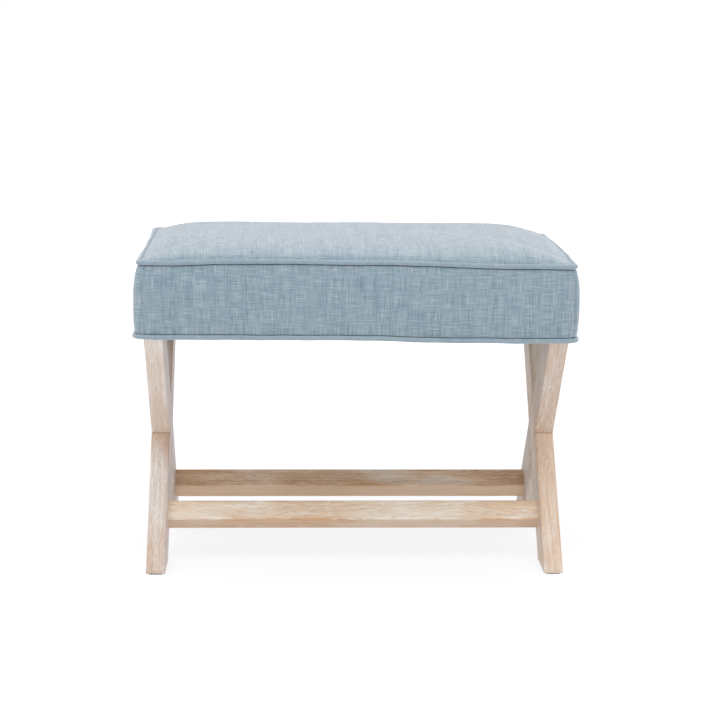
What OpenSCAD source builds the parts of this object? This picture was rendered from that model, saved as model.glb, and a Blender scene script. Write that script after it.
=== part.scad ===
// Upholstered ottoman: a crowned, piped box seat on two X-shaped oak side frames.
// Sizes are in millimetres. The origin is on the floor under the middle of the seat,
// X runs along the seat's width, Y from its front to its back, and Z up.

/* [Seat] */
// Width of the seat over its top welt
seat_w = 610; // [540:1:900]
// Depth of the seat over its top welt
seat_d = 380; // [340:1:520]
// Height of the seat's underside above the floor
base_h = 340; // [310:1:390]
// Height of the side bands, from the middle of one welt to the middle of the other
band_h = 103; // [90:1:140]
// Rise of the top panel's middle above its edges
crown = 29; // [12:1:45]
// Shape of the crown across the width, from 2, round, to 12, flat with steep ends
crown_fill_w = 8; // [2:0.5:12]
// Shape of the crown across the depth, from 2, round, to 12, flat with steep ends
crown_fill_d = 2.5; // [2:0.5:12]
// Outer radius of the top welt at the seat's corners
corner_r = 12; // [11:0.5:30]
// How far the bottom welt stands out past the top welt
flare = 4.5; // [2:0.5:8]
// How far the bands swell out past the top welt
bulge = 5; // [3:0.5:10]
// Diameter of the welts
welt_d = 6; // [5:0.5:8]
// Thickness of the cover's fabric
fabric_t = 1.2; // [0.8:0.1:1.5]
// Thickness of the wadding over the foam
wadding_t = 3; // [2:0.5:8]
// Thickness of the dust cover under the seat
dust_t = 0.8; // [0.4:0.1:1.2]
// Width of the hem that the bands turn under the rails
hem_w = 20; // [14:1:24]

/* [Seat base] */
// Distance from the top welt's outer edge in to the rails' outer faces
rail_inset = 5; // [4:0.5:8]
// Thickness of the rails
rail_t = 28; // [24:1:34]
// Height of the rails
rail_h = 45; // [38:1:55]
// Thickness of the plywood deck
deck_t = 12; // [9:1:18]
// Length of a corner block along each rail
block_w = 48; // [40:1:60]
// Height of a corner block
block_h = 38; // [30:1:38]
// Distance from the rails' outer faces in to the foam's sides
foam_inset = 3; // [1:0.5:6]
// Distance from the rails' outer faces in to the dust cover's edge
dust_inset = 2; // [1:0.5:3]

/* [Side frames] */
// Thickness of a leg, along the seat's width
leg_t = 27; // [22:1:34]
// Width of a leg, square to its length
leg_w = 60; // [48:1:70]
// Distance from the top welt's outer edge in to the legs' outer faces
leg_inset = 8; // [7:0.5:20]
// Distance from the rails' outer faces in to the corner of each leg's top
leg_setback = 2; // [1:0.5:20]
// Distance from the rails' outer faces in to the toes of the feet
toe_setback = 3.5; // [1:0.5:20]
// Radius of the eased edges of the legs and stretchers
ease_r = 2.5; // [1:0.5:5]
// How far the sharp toe of each foot is cut back
toe_cut = 3.5; // [1:0.5:8]
// Thickness of the square stretchers
stretcher_t = 31; // [24:1:36]
// Height of the stretchers' middle above the floor
stretcher_h = 65; // [50:1:90]
// Thickness of the felt pads under the feet
pad_t = 2; // [1:0.5:5]
// Distance from the edge of a foot in to its felt pad
pad_inset = 2.5; // [1:0.5:5]

/* [Fasteners] */
// Diameter of the dowels
dowel_d = 8; // [6:0.5:10]
// Length of the dowels
dowel_l = 40; // [30:1:44]
// Depth of the stretcher dowels in the legs
dowel_in_leg = 18; // [12:1:20]
// Diameter of the screws that hold the legs
leg_screw_d = 6; // [5:0.5:7]
// Length of the screws that hold the legs
leg_screw_l = 75; // [70:1:95]
// Head diameter of the screws that hold the legs
leg_screw_head_d = 12; // [10:0.5:13]
// Head height of the screws that hold the legs
leg_screw_head_h = 4; // [3:0.5:6]
// Depth of the sinkings for those heads in the side rails
leg_screw_sink = 12; // [8:1:16]
// Diameter of the small wood screws
screw_d = 4; // [3:0.5:5]
// Head diameter of the small wood screws
screw_head_d = 8; // [6.5:0.5:9]
// Length of the screws through the deck
deck_screw_l = 30; // [24:1:36]
// Length of the screws through the corner blocks
block_screw_l = 50; // [40:1:55]
// Width of a staple
staple_w = 10; // [8:0.5:12]
// Length of a staple's legs
staple_l = 10; // [8:0.5:14]
// Thickness of the staples' wire
staple_t = 0.6; // [0.5:0.1:0.8]

/* [Hidden] */
$fn = 48;

// Clearances, and the overrun of every cut
fit_gap = 0.1;
soft_gap = 0.3;
seam_gap = 0.2;
notch_gap = 0.5;
hole_end = 1;
overrun = 5;

// Colours
OAK = "#d6c1b0";
PINE = "#d9bd8c";
PLYWOOD = "#cdaa78";
BEECH = "#c99c6b";
STEEL = "#b4b7ba";
LINEN = "#93a4b0";
LINEN_TOP = "#bdc8d2";
CORD = "#e9e6dc";
FOAM = "#e9dcae";
WADDING = "#f3f3f0";
CAMBRIC = "#2a2a2d";
FELT = "#5d4c40";

// Heights of the seat's layers
welt_r = welt_d / 2;
low_z = base_h + welt_r;
seam_z = low_z + band_h;
flange_t = 2 * fabric_t;
hem_z = low_z + flange_t / 2;
dust_z = low_z - flange_t / 2 - dust_t;
rail_z = hem_z + fabric_t;
rail_top = rail_z + rail_h;
deck_top = rail_top + deck_t;
rim_z = seam_z + flange_t / 2 + fabric_t;
foam_side_z = seam_z - flange_t / 2 - fabric_t - soft_gap;

// Plan of the seat. A radius here runs out from the centres of the four corner arcs,
// and along the straight sides the same distance runs out from the line between two centres.
arc_x = seat_w / 2 - corner_r;
arc_y = seat_d / 2 - corner_r;
top_r = corner_r - welt_r;
low_r = top_r + flare;
edge_r = top_r - welt_r - seam_gap;
tuck_share = 0.17;
tuck_r = edge_r * tuck_share;
seam_x = arc_x + edge_r;
seam_y = arc_y + edge_r;
rail_x = seat_w / 2 - rail_inset;
rail_y = seat_d / 2 - rail_inset;
rail_in_x = rail_x - rail_t;
rail_in_y = rail_y - rail_t;
foam_r = corner_r - rail_inset - foam_inset;
wall_r = corner_r - rail_inset + soft_gap;

// Side frames: the slope that takes a leg from its toe at one end of the seat to the corner
// of its top at the other, before the toe is cut
leg_x = seat_w / 2 - leg_inset - leg_t / 2;
leg_in_x = leg_x - leg_t / 2;
leg_rise = rail_z - pad_t;
top_reach = rail_y - leg_setback;
toe_reach = rail_y - toe_setback + toe_cut;
leg_spread = top_reach + toe_reach;
leg_angle = atan2(leg_rise, leg_spread) + asin(leg_w / norm([leg_rise, leg_spread]));
leg_lean = leg_angle - 90;
leg_slice = leg_w / sin(leg_angle);
leg_top_y = top_reach - leg_slice / 2;
leg_foot_y = toe_reach - leg_slice / 2;
cross_h = pad_t + leg_foot_y * tan(leg_angle);
leg_run = (cross_h + rail_z) / sin(leg_angle);
stretcher_y = (cross_h - stretcher_h) / tan(leg_angle);
// Screws in the middle of what a leg and the rail over it share, clear of the leg's slope
leg_screw_x = (max(rail_in_x, leg_in_x) + min(rail_x, leg_in_x + leg_t)) / 2;
leg_screw_shares = [0.23, 0.43];
leg_screw_ys = [for (share = leg_screw_shares) leg_top_y - share * leg_slice];

// Places of the small fasteners, as shares of what they fasten
rail_dowel_shares = [0.28, 0.76];
deck_screw_x_shares = [-0.75, -0.25, 0.25, 0.75];
deck_screw_y_share = 0.3;
centre_screw_y_share = 0.55;
block_screw_share = 0.28;
block_screw_z_shares = [0.52, 0.65];
staples_long = 8;
staples_short = 3;
staple_x_share = 0.9;
staple_y_share = 0.75;

// Path of a band's outside, from its hem up round both welts, as [radius, height]
groove_r = welt_r + soft_gap;
tuck_angle = asin(flange_t / 2 / groove_r);
low_leave_angle = 95;
top_leave_angle = 255;
groove_steps = 3;
swell_steps = 10;
swell_power = 4;
swell_start = round_point([low_r, low_z], groove_r, low_leave_angle);
swell_end = round_point([top_r, seam_z], groove_r, top_leave_angle);
swell_r = corner_r + bulge;
band_path = concat(
  [[tuck_r, hem_z]],
  arc_points([low_r, low_z], groove_r, 180 - tuck_angle, low_leave_angle, groove_steps),
  [for (i = [1 : swell_steps - 1]) swell_point(i / swell_steps)],
  arc_points([top_r, seam_z], groove_r, top_leave_angle, 180 + tuck_angle, groove_steps),
  [[tuck_r, seam_z - flange_t / 2]]
);
// The part of that path that faces the wadding
wall_first = groove_steps + 1;
wall_last = len(band_path) - 3;

// Rings of the crowned layers: the first on the seam, the second inside the tucked edges
corner_steps = 4;
long_steps = 10;
short_steps = 6;
crown_rings = 8;
crown_ring_power = 1.4;
tuck_scale = 1 - (edge_r - tuck_r + soft_gap) / seam_y;
crown_scales = concat(
  [1],
  [for (i = [0 : crown_rings - 2]) tuck_scale * (1 - pow(i / (crown_rings - 1), crown_ring_power))]
);

function mix(a, b, share) = a + (b - a) * share;
function unit(v) = v / norm(v);
function left_of(v) = [-v[1], v[0]];
function reversed(list) = [for (i = [len(list) - 1 : -1 : 0]) list[i]];

function round_point(centre, radius, angle) = centre + radius * [cos(angle), sin(angle)];

function arc_points(centre, radius, from, to, steps) =
  [for (i = [0 : steps]) round_point(centre, radius, mix(from, to, i / steps))];

// A point of the swelling wall between the two grooves, where share runs from 0 to 1
function swell_point(share) = [
  mix(swell_r, share < 0.5 ? swell_start[0] : swell_end[0], pow(abs(2 * share - 1), swell_power)),
  mix(swell_start[1], swell_end[1], share)
];

// The same path moved to its left by a distance, with mitred corners
function shifted(path, by) = [
  for (i = [0 : len(path) - 1])
    let (
      before = unit(i == 0 ? path[1] - path[0] : path[i] - path[i - 1]),
      after = i == len(path) - 1 ? before : unit(path[i + 1] - path[i]),
      middle = unit(left_of(before) + left_of(after))
    )
    path[i] + middle * by / (middle * left_of(before))
];

// Places from -1 to 1 that lie closer together near both ends
function spread(i, steps) = sin(90 * (2 * i / steps - 1));

// The seat's plan at a radius, as points that run anticlockwise from its right side
function seat_ring(radius) = concat(
  arc_points([arc_x, arc_y], radius, 0, 90, corner_steps),
  [for (i = [1 : long_steps - 1]) [-arc_x * spread(i, long_steps), arc_y + radius]],
  arc_points([-arc_x, arc_y], radius, 90, 180, corner_steps),
  [for (i = [1 : short_steps - 1]) [-arc_x - radius, -arc_y * spread(i, short_steps)]],
  arc_points([-arc_x, -arc_y], radius, 180, 270, corner_steps),
  [for (i = [1 : long_steps - 1]) [arc_x * spread(i, long_steps), -arc_y - radius]],
  arc_points([arc_x, -arc_y], radius, 270, 360, corner_steps),
  [for (i = [1 : short_steps - 1]) [arc_x + radius, arc_y * spread(i, short_steps)]]
);

function at_height(ring, z) = [for (p = ring) [p[0], p[1], z]];

// Height of the top panel's upper face
function crown_z(p) = rim_z + crown
  * (1 - pow(min(abs(p[0]) / seam_x, 1), crown_fill_w))
  * (1 - pow(min(abs(p[1]) / seam_y, 1), crown_fill_d));

// Rings of a crowned face that lies a drop below the top panel's upper face, from the edge in
function crowned_rings(drop, first) = [
  for (k = [first : crown_rings - 1])
    [for (p = seat_ring(edge_r) * crown_scales[k]) [p[0], p[1], crown_z(p) - drop]]
];

// A closed skin over rings of points, from a point under the first to a point over the last
module lofted(rings, first_point, last_point) {
  n = len(rings[0]);
  points = concat([first_point], [for (ring = rings) each ring], [last_point]);
  last = len(points) - 1;
  polyhedron(points, concat(
    [for (i = [0 : n - 1]) [0, 1 + i, 1 + (i + 1) % n]],
    [
      for (k = [0 : len(rings) - 2], i = [0 : n - 1])
        let (a = 1 + k * n + i, b = 1 + k * n + (i + 1) % n)
        each [[a, a + n, b + n], [a, b + n, b]]
    ],
    [for (i = [0 : n - 1]) [last, last - n + (i + 1) % n, last - n + i]]
  ));
}

// A crowned sheet of even height, such as the top panel
module crowned_sheet(drop, thickness, first) {
  lofted(
    concat(reversed(crowned_rings(drop + thickness, first)), crowned_rings(drop, first)),
    [0, 0, crown_z([0, 0]) - drop - thickness],
    [0, 0, crown_z([0, 0]) - drop]
  );
}

// A profile of [radius, height] along one straight side that faces +X
module side_run(out, half) {
  translate([out, half, 0])
    rotate([90, 0, 0])
      linear_extrude(2 * half)
        children();
}

// The same profile round a corner
module corner_turn(angle) {
  rotate_extrude(angle = angle)
    children();
}

// The same profile all the way round the seat
module round_the_seat() {
  for (turn = [0, 180])
    rotate(turn) {
      side_run(arc_x, arc_y)
        children();
      rotate(90)
        side_run(arc_y, arc_x)
          children();
    }
  for (corner = [0 : 3])
    translate([(corner % 3 == 0 ? 1 : -1) * arc_x, (corner < 2 ? 1 : -1) * arc_y, 0])
      rotate(90 * corner)
        corner_turn(90)
          children();
}

// Copies for the four corners of the seat
module each_corner() {
  for (x = [0, 1], y = [0, 1])
    mirror([x, 0, 0])
      mirror([0, y, 0])
        children();
}

module eased_rectangle(size) {
  square([size[0] - 2 * ease_r, size[1]], center = true);
  square([size[0], size[1] - 2 * ease_r], center = true);
  for (x = [-1, 1], y = [-1, 1])
    translate([x * (size[0] / 2 - ease_r), y * (size[1] / 2 - ease_r)])
      circle(ease_r);
}

// Puts what stands along Z on a side frame's crossing: lean 1 leans to the back, -1 to the front
module at_crossing(x, lean) {
  translate([x, 0, cross_h])
    rotate([lean * leg_lean, 0, 0])
      children();
}

// Room that the legs need in the cloth under the seat
module leg_notches() {
  intersection() {
    for (x = [-leg_x, leg_x], lean = [-1, 1])
      at_crossing(x, lean)
        translate([-leg_t / 2 - notch_gap, -leg_w / 2 - notch_gap, 0])
          cube([leg_t + 2 * notch_gap, leg_w + 2 * notch_gap, leg_run]);
    translate([-seat_w, -seat_d, 0])
      cube([2 * seat_w, 2 * seat_d, rail_z + soft_gap]);
  }
}

// A round pin along Z, centred, that a hole grows by its clearance
module pin(diameter, length, grow, grow_end) {
  cylinder(h = length + 2 * grow_end, d = diameter + 2 * grow, center = true);
}

// A countersunk wood screw that points down, with its head's face at height 0
module wood_screw(length, grow) {
  head_h = (screw_head_d - screw_d) / 2;
  translate([0, 0, -head_h])
    cylinder(h = head_h, d1 = screw_d + 2 * grow, d2 = screw_head_d + 2 * grow);
  translate([0, 0, screw_d - length])
    cylinder(h = length - screw_d - head_h, d = screw_d + 2 * grow);
  translate([0, 0, -length - grow])
    cylinder(h = screw_d + grow, d1 = screw_d / 4, d2 = screw_d + 2 * grow);
}

// The hole for that screw, open above its head
module screw_hole(length) {
  wood_screw(length, fit_gap);
  cylinder(h = 2 * overrun, d = screw_head_d + 2 * fit_gap);
}

// Legs, each named by the side and end of its foot

module leg_blank(x, lean) {
  intersection() {
    at_crossing(x, lean)
      translate([0, 0, -leg_run])
        linear_extrude(2 * leg_run)
          eased_rectangle([leg_t, leg_w]);
    translate([x - leg_t, -seat_d, pad_t])
      cube([2 * leg_t, 2 * seat_d, rail_z - pad_t]);
  }
}

// The half of a leg's thickness that the other leg fills, on the side that half points to
module lap_cut(x, lean, half) {
  at_crossing(x, lean)
    translate([half > 0 ? 0 : -leg_t / 2 - overrun, -leg_w / 2, -leg_w])
      cube([leg_t / 2 + overrun, leg_w, 2 * leg_w]);
}

module toe_trim(x, lean) {
  toe_y = leg_foot_y + leg_slice / 2 - toe_cut;
  translate([x - leg_t, lean > 0 ? -toe_y - leg_slice : toe_y, 0])
    cube([2 * leg_t, leg_slice, cross_h / 2]);
}

module leg(side, lean) {
  x = side * leg_x;
  color(OAK)
    difference() {
      leg_blank(x, lean);
      lap_cut(x, -lean, side * lean);
      toe_trim(x, lean);
      stretcher_dowel_pins(fit_gap, hole_end);
      leg_screw_set(fit_gap);
    }
}

module left_front_leg() {
  leg(-1, 1);
}

module left_rear_leg() {
  leg(-1, -1);
}

module right_front_leg() {
  leg(1, 1);
}

module right_rear_leg() {
  leg(1, -1);
}

module foot_pads() {
  pad_y = leg_foot_y - toe_cut / 2;
  color(FELT)
    each_corner()
      translate([leg_x, pad_y, 0])
        linear_extrude(pad_t)
          eased_rectangle([leg_t - 2 * pad_inset, leg_slice - toe_cut - 2 * pad_inset]);
}

// Stretchers, square bars that follow the slope of the legs they join

module stretcher(lean) {
  color(OAK)
    difference() {
      translate([-leg_in_x, -lean * stretcher_y, stretcher_h])
        rotate([lean * leg_lean, 0, 0])
          rotate([90, 0, 90])
            linear_extrude(2 * leg_in_x)
              eased_rectangle([stretcher_t, stretcher_t]);
      stretcher_dowel_pins(fit_gap, hole_end);
    }
}

module front_stretcher() {
  stretcher(1);
}

module rear_stretcher() {
  stretcher(-1);
}

// Two dowels at each end of each stretcher, one above the other along the leg
module stretcher_dowel_pins(grow, grow_end) {
  each_corner()
    translate([leg_in_x + dowel_in_leg - dowel_l / 2, stretcher_y, stretcher_h])
      rotate([-leg_lean, 0, 0])
        for (place = [-1, 1])
          translate([0, 0, place * stretcher_t / 4])
            rotate([0, 90, 0])
              pin(dowel_d, dowel_l, grow, grow_end);
}

module stretcher_dowels() {
  color(BEECH)
    stretcher_dowel_pins(0, 0);
}

// Screws that hold each leg's top, driven down through the side rails

module leg_screw_set(grow) {
  head_z = rail_top - leg_screw_sink;
  each_corner()
    for (y = leg_screw_ys)
      translate([leg_screw_x, y, 0]) {
        translate([0, 0, head_z - leg_screw_l - grow])
          cylinder(h = leg_screw_l + grow, d = leg_screw_d + 2 * grow);
        translate([0, 0, head_z])
          cylinder(h = leg_screw_head_h, d = leg_screw_head_d + 2 * grow);
      }
}

module leg_screws() {
  color(STEEL)
    leg_screw_set(0);
}

module leg_screw_sinkings() {
  leg_screw_set(fit_gap);
  each_corner()
    for (y = leg_screw_ys)
      translate([leg_screw_x, y, rail_top - leg_screw_sink])
        cylinder(h = leg_screw_sink + overrun, d = leg_screw_head_d + 2 * fit_gap);
}

// Seat base: four rails, a centre rail, corner blocks and a plywood deck

// A rail between the two end rails
module cross_rail(y) {
  color(PINE)
    difference() {
      translate([-rail_in_x, y, rail_z])
        cube([2 * rail_in_x, rail_t, rail_h]);
      rail_cuts();
    }
}

// A rail from front to back, over half a length to each side of the middle
module deep_rail(x, half) {
  color(PINE)
    difference() {
      translate([x, -half, rail_z])
        cube([rail_t, 2 * half, rail_h]);
      rail_cuts();
    }
}

// Every hole and slot that the rails' fasteners take
module rail_cuts() {
  rail_dowel_pins(fit_gap, hole_end);
  leg_screw_sinkings();
  block_screw_set(true);
  deck_screw_set(true);
  cover_staple_row(fit_gap);
  dust_staple_row(fit_gap);
}

module front_rail() {
  cross_rail(-rail_y);
}

module rear_rail() {
  cross_rail(rail_in_y);
}

module left_rail() {
  deep_rail(-rail_x, rail_y);
}

module right_rail() {
  deep_rail(rail_in_x, rail_y);
}

module centre_rail() {
  deep_rail(-rail_t / 2, rail_in_y);
}

// Two dowels in each corner joint, and two side by side at each end of the centre rail
module rail_dowel_pins(grow, grow_end) {
  each_corner()
    for (share = rail_dowel_shares)
      translate([rail_in_x, rail_y - rail_t / 2, rail_z + share * rail_h])
        rotate([0, 90, 0])
          pin(dowel_d, dowel_l, grow, grow_end);
  each_corner()
    translate([rail_t / 4, rail_in_y, rail_z + rail_h / 2])
      rotate([90, 0, 0])
        pin(dowel_d, dowel_l, grow, grow_end);
}

module rail_dowels() {
  color(BEECH)
    rail_dowel_pins(0, 0);
}

module corner_blocks() {
  color(PINE)
    difference() {
      each_corner()
        translate([rail_in_x, rail_in_y, rail_top - block_h])
          linear_extrude(block_h)
            polygon([[0, 0], [-block_w, 0], [0, -block_w]]);
      block_screw_set(true);
    }
}

// One screw through each corner block into each of its two rails
module block_screw_set(hole) {
  in = block_screw_share * block_w;
  start = block_w - in - screw_d / 2;
  each_corner() {
    translate([rail_in_x - in, rail_in_y - start, rail_z + block_screw_z_shares[0] * rail_h])
      rotate([90, 0, 0])
        block_screw(hole);
    translate([rail_in_x - start, rail_in_y - in, rail_z + block_screw_z_shares[1] * rail_h])
      rotate([0, -90, 0])
        block_screw(hole);
  }
}

module block_screw(hole) {
  if (hole)
    screw_hole(block_screw_l);
  else
    wood_screw(block_screw_l, 0);
}

module block_screws() {
  color(STEEL)
    block_screw_set(false);
}

module deck() {
  color(PLYWOOD)
    difference() {
      translate([-rail_x, -rail_y, rail_top])
        cube([2 * rail_x, 2 * rail_y, deck_t]);
      deck_screw_set(true);
    }
}

// Screws down into the front and rear rails, the side rails and the centre rail
module deck_screw_set(hole) {
  places = concat(
    [for (share = deck_screw_x_shares, y = [-1, 1]) [share * rail_in_x, y * (rail_y - rail_t / 2)]],
    [for (x = [-1, 1], y = [-1, 1]) [x * (rail_x - rail_t / 2), y * deck_screw_y_share * rail_in_y]],
    [for (y = [-1, 1]) [0, y * centre_screw_y_share * rail_in_y]]
  );
  for (place = places)
    translate([place[0], place[1], deck_top])
      if (hole)
        screw_hole(deck_screw_l);
      else
        wood_screw(deck_screw_l, 0);
}

module deck_screws() {
  color(STEEL)
    deck_screw_set(false);
}

// Filling: a crowned foam block, with wadding over it and round the base

module foam_pad() {
  drop = fabric_t + wadding_t + 2 * soft_gap;
  tuck_ring = seat_ring(edge_r) * tuck_scale;
  color(FOAM)
    lofted(
      concat(
        [
          at_height(seat_ring(foam_r), deck_top),
          at_height(seat_ring(foam_r), foam_side_z),
          at_height(tuck_ring, foam_side_z)
        ],
        crowned_rings(drop, 1)
      ),
      [0, 0, deck_top],
      [0, 0, crown_z([0, 0]) - drop]
    );
}

module top_wadding() {
  color(WADDING)
    crowned_sheet(fabric_t + soft_gap, wadding_t, 1);
}

module side_wadding() {
  outside = shifted(band_path, fabric_t + soft_gap);
  wall = [for (i = [wall_first : wall_last]) outside[i]];
  inside = [
    [foam_r + soft_gap, wall[len(wall) - 1][1]],
    [foam_r + soft_gap, deck_top + soft_gap],
    [wall_r, deck_top + soft_gap],
    [wall_r, wall[0][1]]
  ];
  color(WADDING)
    round_the_seat()
      polygon(concat(wall, inside));
}

// Cover: a crowned top panel, four bands with mitred hems, and two welts

module top_cover() {
  color(LINEN_TOP)
    crowned_sheet(0, fabric_t, 0);
}

module band_profile() {
  polygon(concat(band_path, reversed(shifted(band_path, fabric_t))));
}

// A band that faces +X, out from the seat's middle, and runs half its length each way along Y
module band(out, half) {
  side_run(out, half)
    band_profile();
  for (end = [0, 1])
    mirror([0, end, 0])
      translate([out, half, 0])
        corner_turn(45)
          band_profile();
  translate([0, 0, hem_z])
    linear_extrude(fabric_t)
      polygon([
        [out + tuck_r, -half], [out + tuck_r, half],
        [out, half], [out - hem_w, half - hem_w],
        [out - hem_w, hem_w - half], [out, -half]
      ]);
}

// A band turned to its own side and cut round the legs and the staples
module placed_band(turn) {
  long = turn % 180 != 0;
  color(LINEN)
    difference() {
      rotate(turn)
        band(long ? arc_y : arc_x, long ? arc_x : arc_y);
      leg_notches();
      cover_staple_row(fit_gap);
      dust_staple_row(fit_gap);
    }
}

module front_band() {
  placed_band(-90);
}

module rear_band() {
  placed_band(90);
}

module left_band() {
  placed_band(180);
}

module right_band() {
  placed_band(0);
}

// A fabric tube with its two raw edges held in the seam
module welt(radius, z) {
  difference() {
    union() {
      translate([radius, z])
        circle(welt_r);
      translate([tuck_r, z - flange_t / 2])
        square([radius - welt_r / 2 - tuck_r, flange_t]);
    }
    translate([radius, z])
      circle(welt_r - fabric_t);
  }
}

module welt_cord(radius, z) {
  translate([radius, z])
    circle(welt_r - fabric_t - fit_gap);
}

module top_welt() {
  color(LINEN)
    round_the_seat()
      welt(top_r, seam_z);
}

module top_welt_cord() {
  color(CORD)
    round_the_seat()
      welt_cord(top_r, seam_z);
}

module bottom_welt() {
  color(LINEN)
    difference() {
      round_the_seat()
        welt(low_r, low_z);
      leg_notches();
      dust_staple_row(fit_gap);
    }
}

module bottom_welt_cord() {
  color(CORD)
    round_the_seat()
      welt_cord(low_r, low_z);
}

// Underside: the dust cover, and the staples that hold the hems and the dust cover

module dust_cover() {
  color(CAMBRIC)
    difference() {
      translate([dust_inset - rail_x, dust_inset - rail_y, dust_z])
        cube([2 * (rail_x - dust_inset), 2 * (rail_y - dust_inset), dust_t]);
      leg_notches();
      dust_staple_row(fit_gap);
    }
}

// A staple along X that points up, with its crown's top at height 0
module staple(grow) {
  translate([-staple_w / 2, -staple_t / 2, -staple_t])
    cube([staple_w, staple_t, staple_t]);
  for (end = [-1, 1])
    translate([end * (staple_w - staple_t) / 2 - staple_t / 2 - grow, -staple_t / 2 - grow, -staple_t])
      cube([staple_t + 2 * grow, staple_t + 2 * grow, staple_l + staple_t + grow]);
}

// Staples round the seat's underside, clear of the legs
module staple_row(radius, z, grow) {
  for (side = [-1, 1]) {
    for (i = [0 : staples_long - 1])
      translate([
        mix(-1, 1, i / (staples_long - 1)) * staple_x_share * leg_in_x,
        side * (arc_y + radius),
        z
      ])
        staple(grow);
    for (i = [0 : staples_short - 1])
      translate([
        side * (arc_x + radius),
        mix(-1, 1, i / (staples_short - 1)) * staple_y_share * (leg_top_y - leg_slice / 2),
        z
      ])
        rotate(90)
          staple(grow);
  }
}

module cover_staple_row(grow) {
  staple_row(tuck_r - hem_w / 2, hem_z, grow);
}

module dust_staple_row(grow) {
  staple_row((tuck_r + corner_r - rail_inset - dust_inset) / 2, dust_z, grow);
}

module cover_staples() {
  color(STEEL)
    cover_staple_row(0);
}

module dust_cover_staples() {
  color(STEEL)
    dust_staple_row(0);
}

left_front_leg();
left_rear_leg();
right_front_leg();
right_rear_leg();
front_stretcher();
rear_stretcher();
stretcher_dowels();
foot_pads();
front_rail();
rear_rail();
left_rail();
right_rail();
centre_rail();
rail_dowels();
corner_blocks();
block_screws();
leg_screws();
deck();
deck_screws();
foam_pad();
top_wadding();
side_wadding();
top_cover();
front_band();
rear_band();
left_band();
right_band();
top_welt();
top_welt_cord();
bottom_welt();
bottom_welt_cord();
dust_cover();
cover_staples();
dust_cover_staples();
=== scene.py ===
"""Upholstered ottoman on crossed limed oak legs: sewn cover, welts, filling, materials and studio."""
import math

import bpy
import numpy as np
from mathutils import Matrix


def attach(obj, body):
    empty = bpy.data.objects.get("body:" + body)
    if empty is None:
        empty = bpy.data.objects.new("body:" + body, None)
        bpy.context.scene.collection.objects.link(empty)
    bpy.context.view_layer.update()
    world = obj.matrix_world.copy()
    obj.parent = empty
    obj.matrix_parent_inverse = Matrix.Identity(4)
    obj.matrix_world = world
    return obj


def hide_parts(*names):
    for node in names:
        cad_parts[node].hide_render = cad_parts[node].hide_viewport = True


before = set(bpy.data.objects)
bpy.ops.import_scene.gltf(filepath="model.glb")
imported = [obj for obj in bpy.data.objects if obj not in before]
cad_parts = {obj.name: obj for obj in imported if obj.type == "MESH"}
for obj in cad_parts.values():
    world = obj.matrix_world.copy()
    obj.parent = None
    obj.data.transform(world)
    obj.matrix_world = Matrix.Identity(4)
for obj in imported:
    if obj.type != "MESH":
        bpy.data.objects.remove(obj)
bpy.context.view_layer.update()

MM = 0.001

# Plan of the seat, in millimetres, as in the CAD source. A radius runs out from the line
# between the centres of the four corner arcs.
ARC_X = 293.0
ARC_Y = 178.0
TOP_R = 9.0
LOW_R = 13.5
TUCK_R = 1.0
EDGE_R = 9.3
COVER_R = 5.7
SWELL_R = 16.3
LEG_CLEAR_R = 5.6
FOAM_R = 4.0
WALL_R = 7.3
SEAM_X = ARC_X + EDGE_R
SEAM_Y = ARC_Y + EDGE_R

# Heights of the seat's layers
LOW_Z = 343.0
HEM_Z = 344.2
DUST_Z = 341.0
DECK_TOP = 402.4
SEAM_Z = 446.0
EDGE_Z = 447.8
CROWN = 19.4
CROWN_POWER_LEFT, CROWN_POWER_RIGHT = 9.5, 12.0
CROWN_POWER_Y = 2.65
SEAT_TILT = math.tan(math.radians(0.1))

# The cover's rolled edge, which lies flatter at the short sides and near the corners
ROLL_RISE = 7.0
ROLL_RUN = 13.0
ROLL_POWER = 2.2
LEFT_FLAT_SHARE, RIGHT_FLAT_SHARE = 0.30, 0.70
SIDE_TUCK = 0.9
CORNER_FLAT_SHARE = 0.6
CORNER_RUN = 30.0

WELT_R = 3.4
LOW_GROOVE_R, TOP_GROOVE_R = 3.8, 4.4
FLANGE = 1.2
BAND_FABRIC, COVER_FABRIC = 1.0, 0.8

# Side frames
LEG_X = 283.5
LEG_T = 27.0
LEG_W = 60.0
LEG_ANGLE = math.radians(49.87)
CROSS_Z = 174.9
STRETCHER_Y = 92.7
STRETCHER_Z = 65.0
STRETCHER_T = 31.0
PAD_Y = 144.0
PAD_SIZE = (22.0, 70.0, 2.0)


# Mesh helpers

def new_piece(name, points, faces, material, slot, smooth=True):
    """A mesh object from points in millimetres, on the one body."""
    mesh = bpy.data.meshes.new(name)
    corners = [tuple(p) for p in np.asarray(points) * MM]
    mesh.from_pydata(corners, [], [tuple(map(int, f)) for f in faces])
    mesh.update()
    piece = bpy.data.objects.new(name, mesh)
    bpy.context.collection.objects.link(piece)
    mesh.polygons.foreach_set("use_smooth", [smooth] * len(mesh.polygons))
    if material:
        mesh.materials.append(material)
    if slot:
        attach(piece, "root")
    return piece


def add_modifier(piece, kind, **settings):
    modifier = piece.modifiers.new(kind.title(), kind)
    for key, value in settings.items():
        setattr(modifier, key, value)
    return modifier


def bake(piece):
    """Puts the result of a piece's modifiers into its mesh."""
    graph = bpy.context.evaluated_depsgraph_get()
    mesh = bpy.data.meshes.new_from_object(piece.evaluated_get(graph), depsgraph=graph)
    old = piece.data
    piece.modifiers.clear()
    piece.data = mesh
    bpy.data.meshes.remove(old)
    mesh.name = piece.name
    mesh.polygons.foreach_set("use_smooth", [True] * len(mesh.polygons))


def points_of(piece):
    """A piece's points in millimetres."""
    flat = np.empty(3 * len(piece.data.vertices))
    piece.data.vertices.foreach_get("co", flat)
    return flat.reshape(-1, 3) / MM


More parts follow.
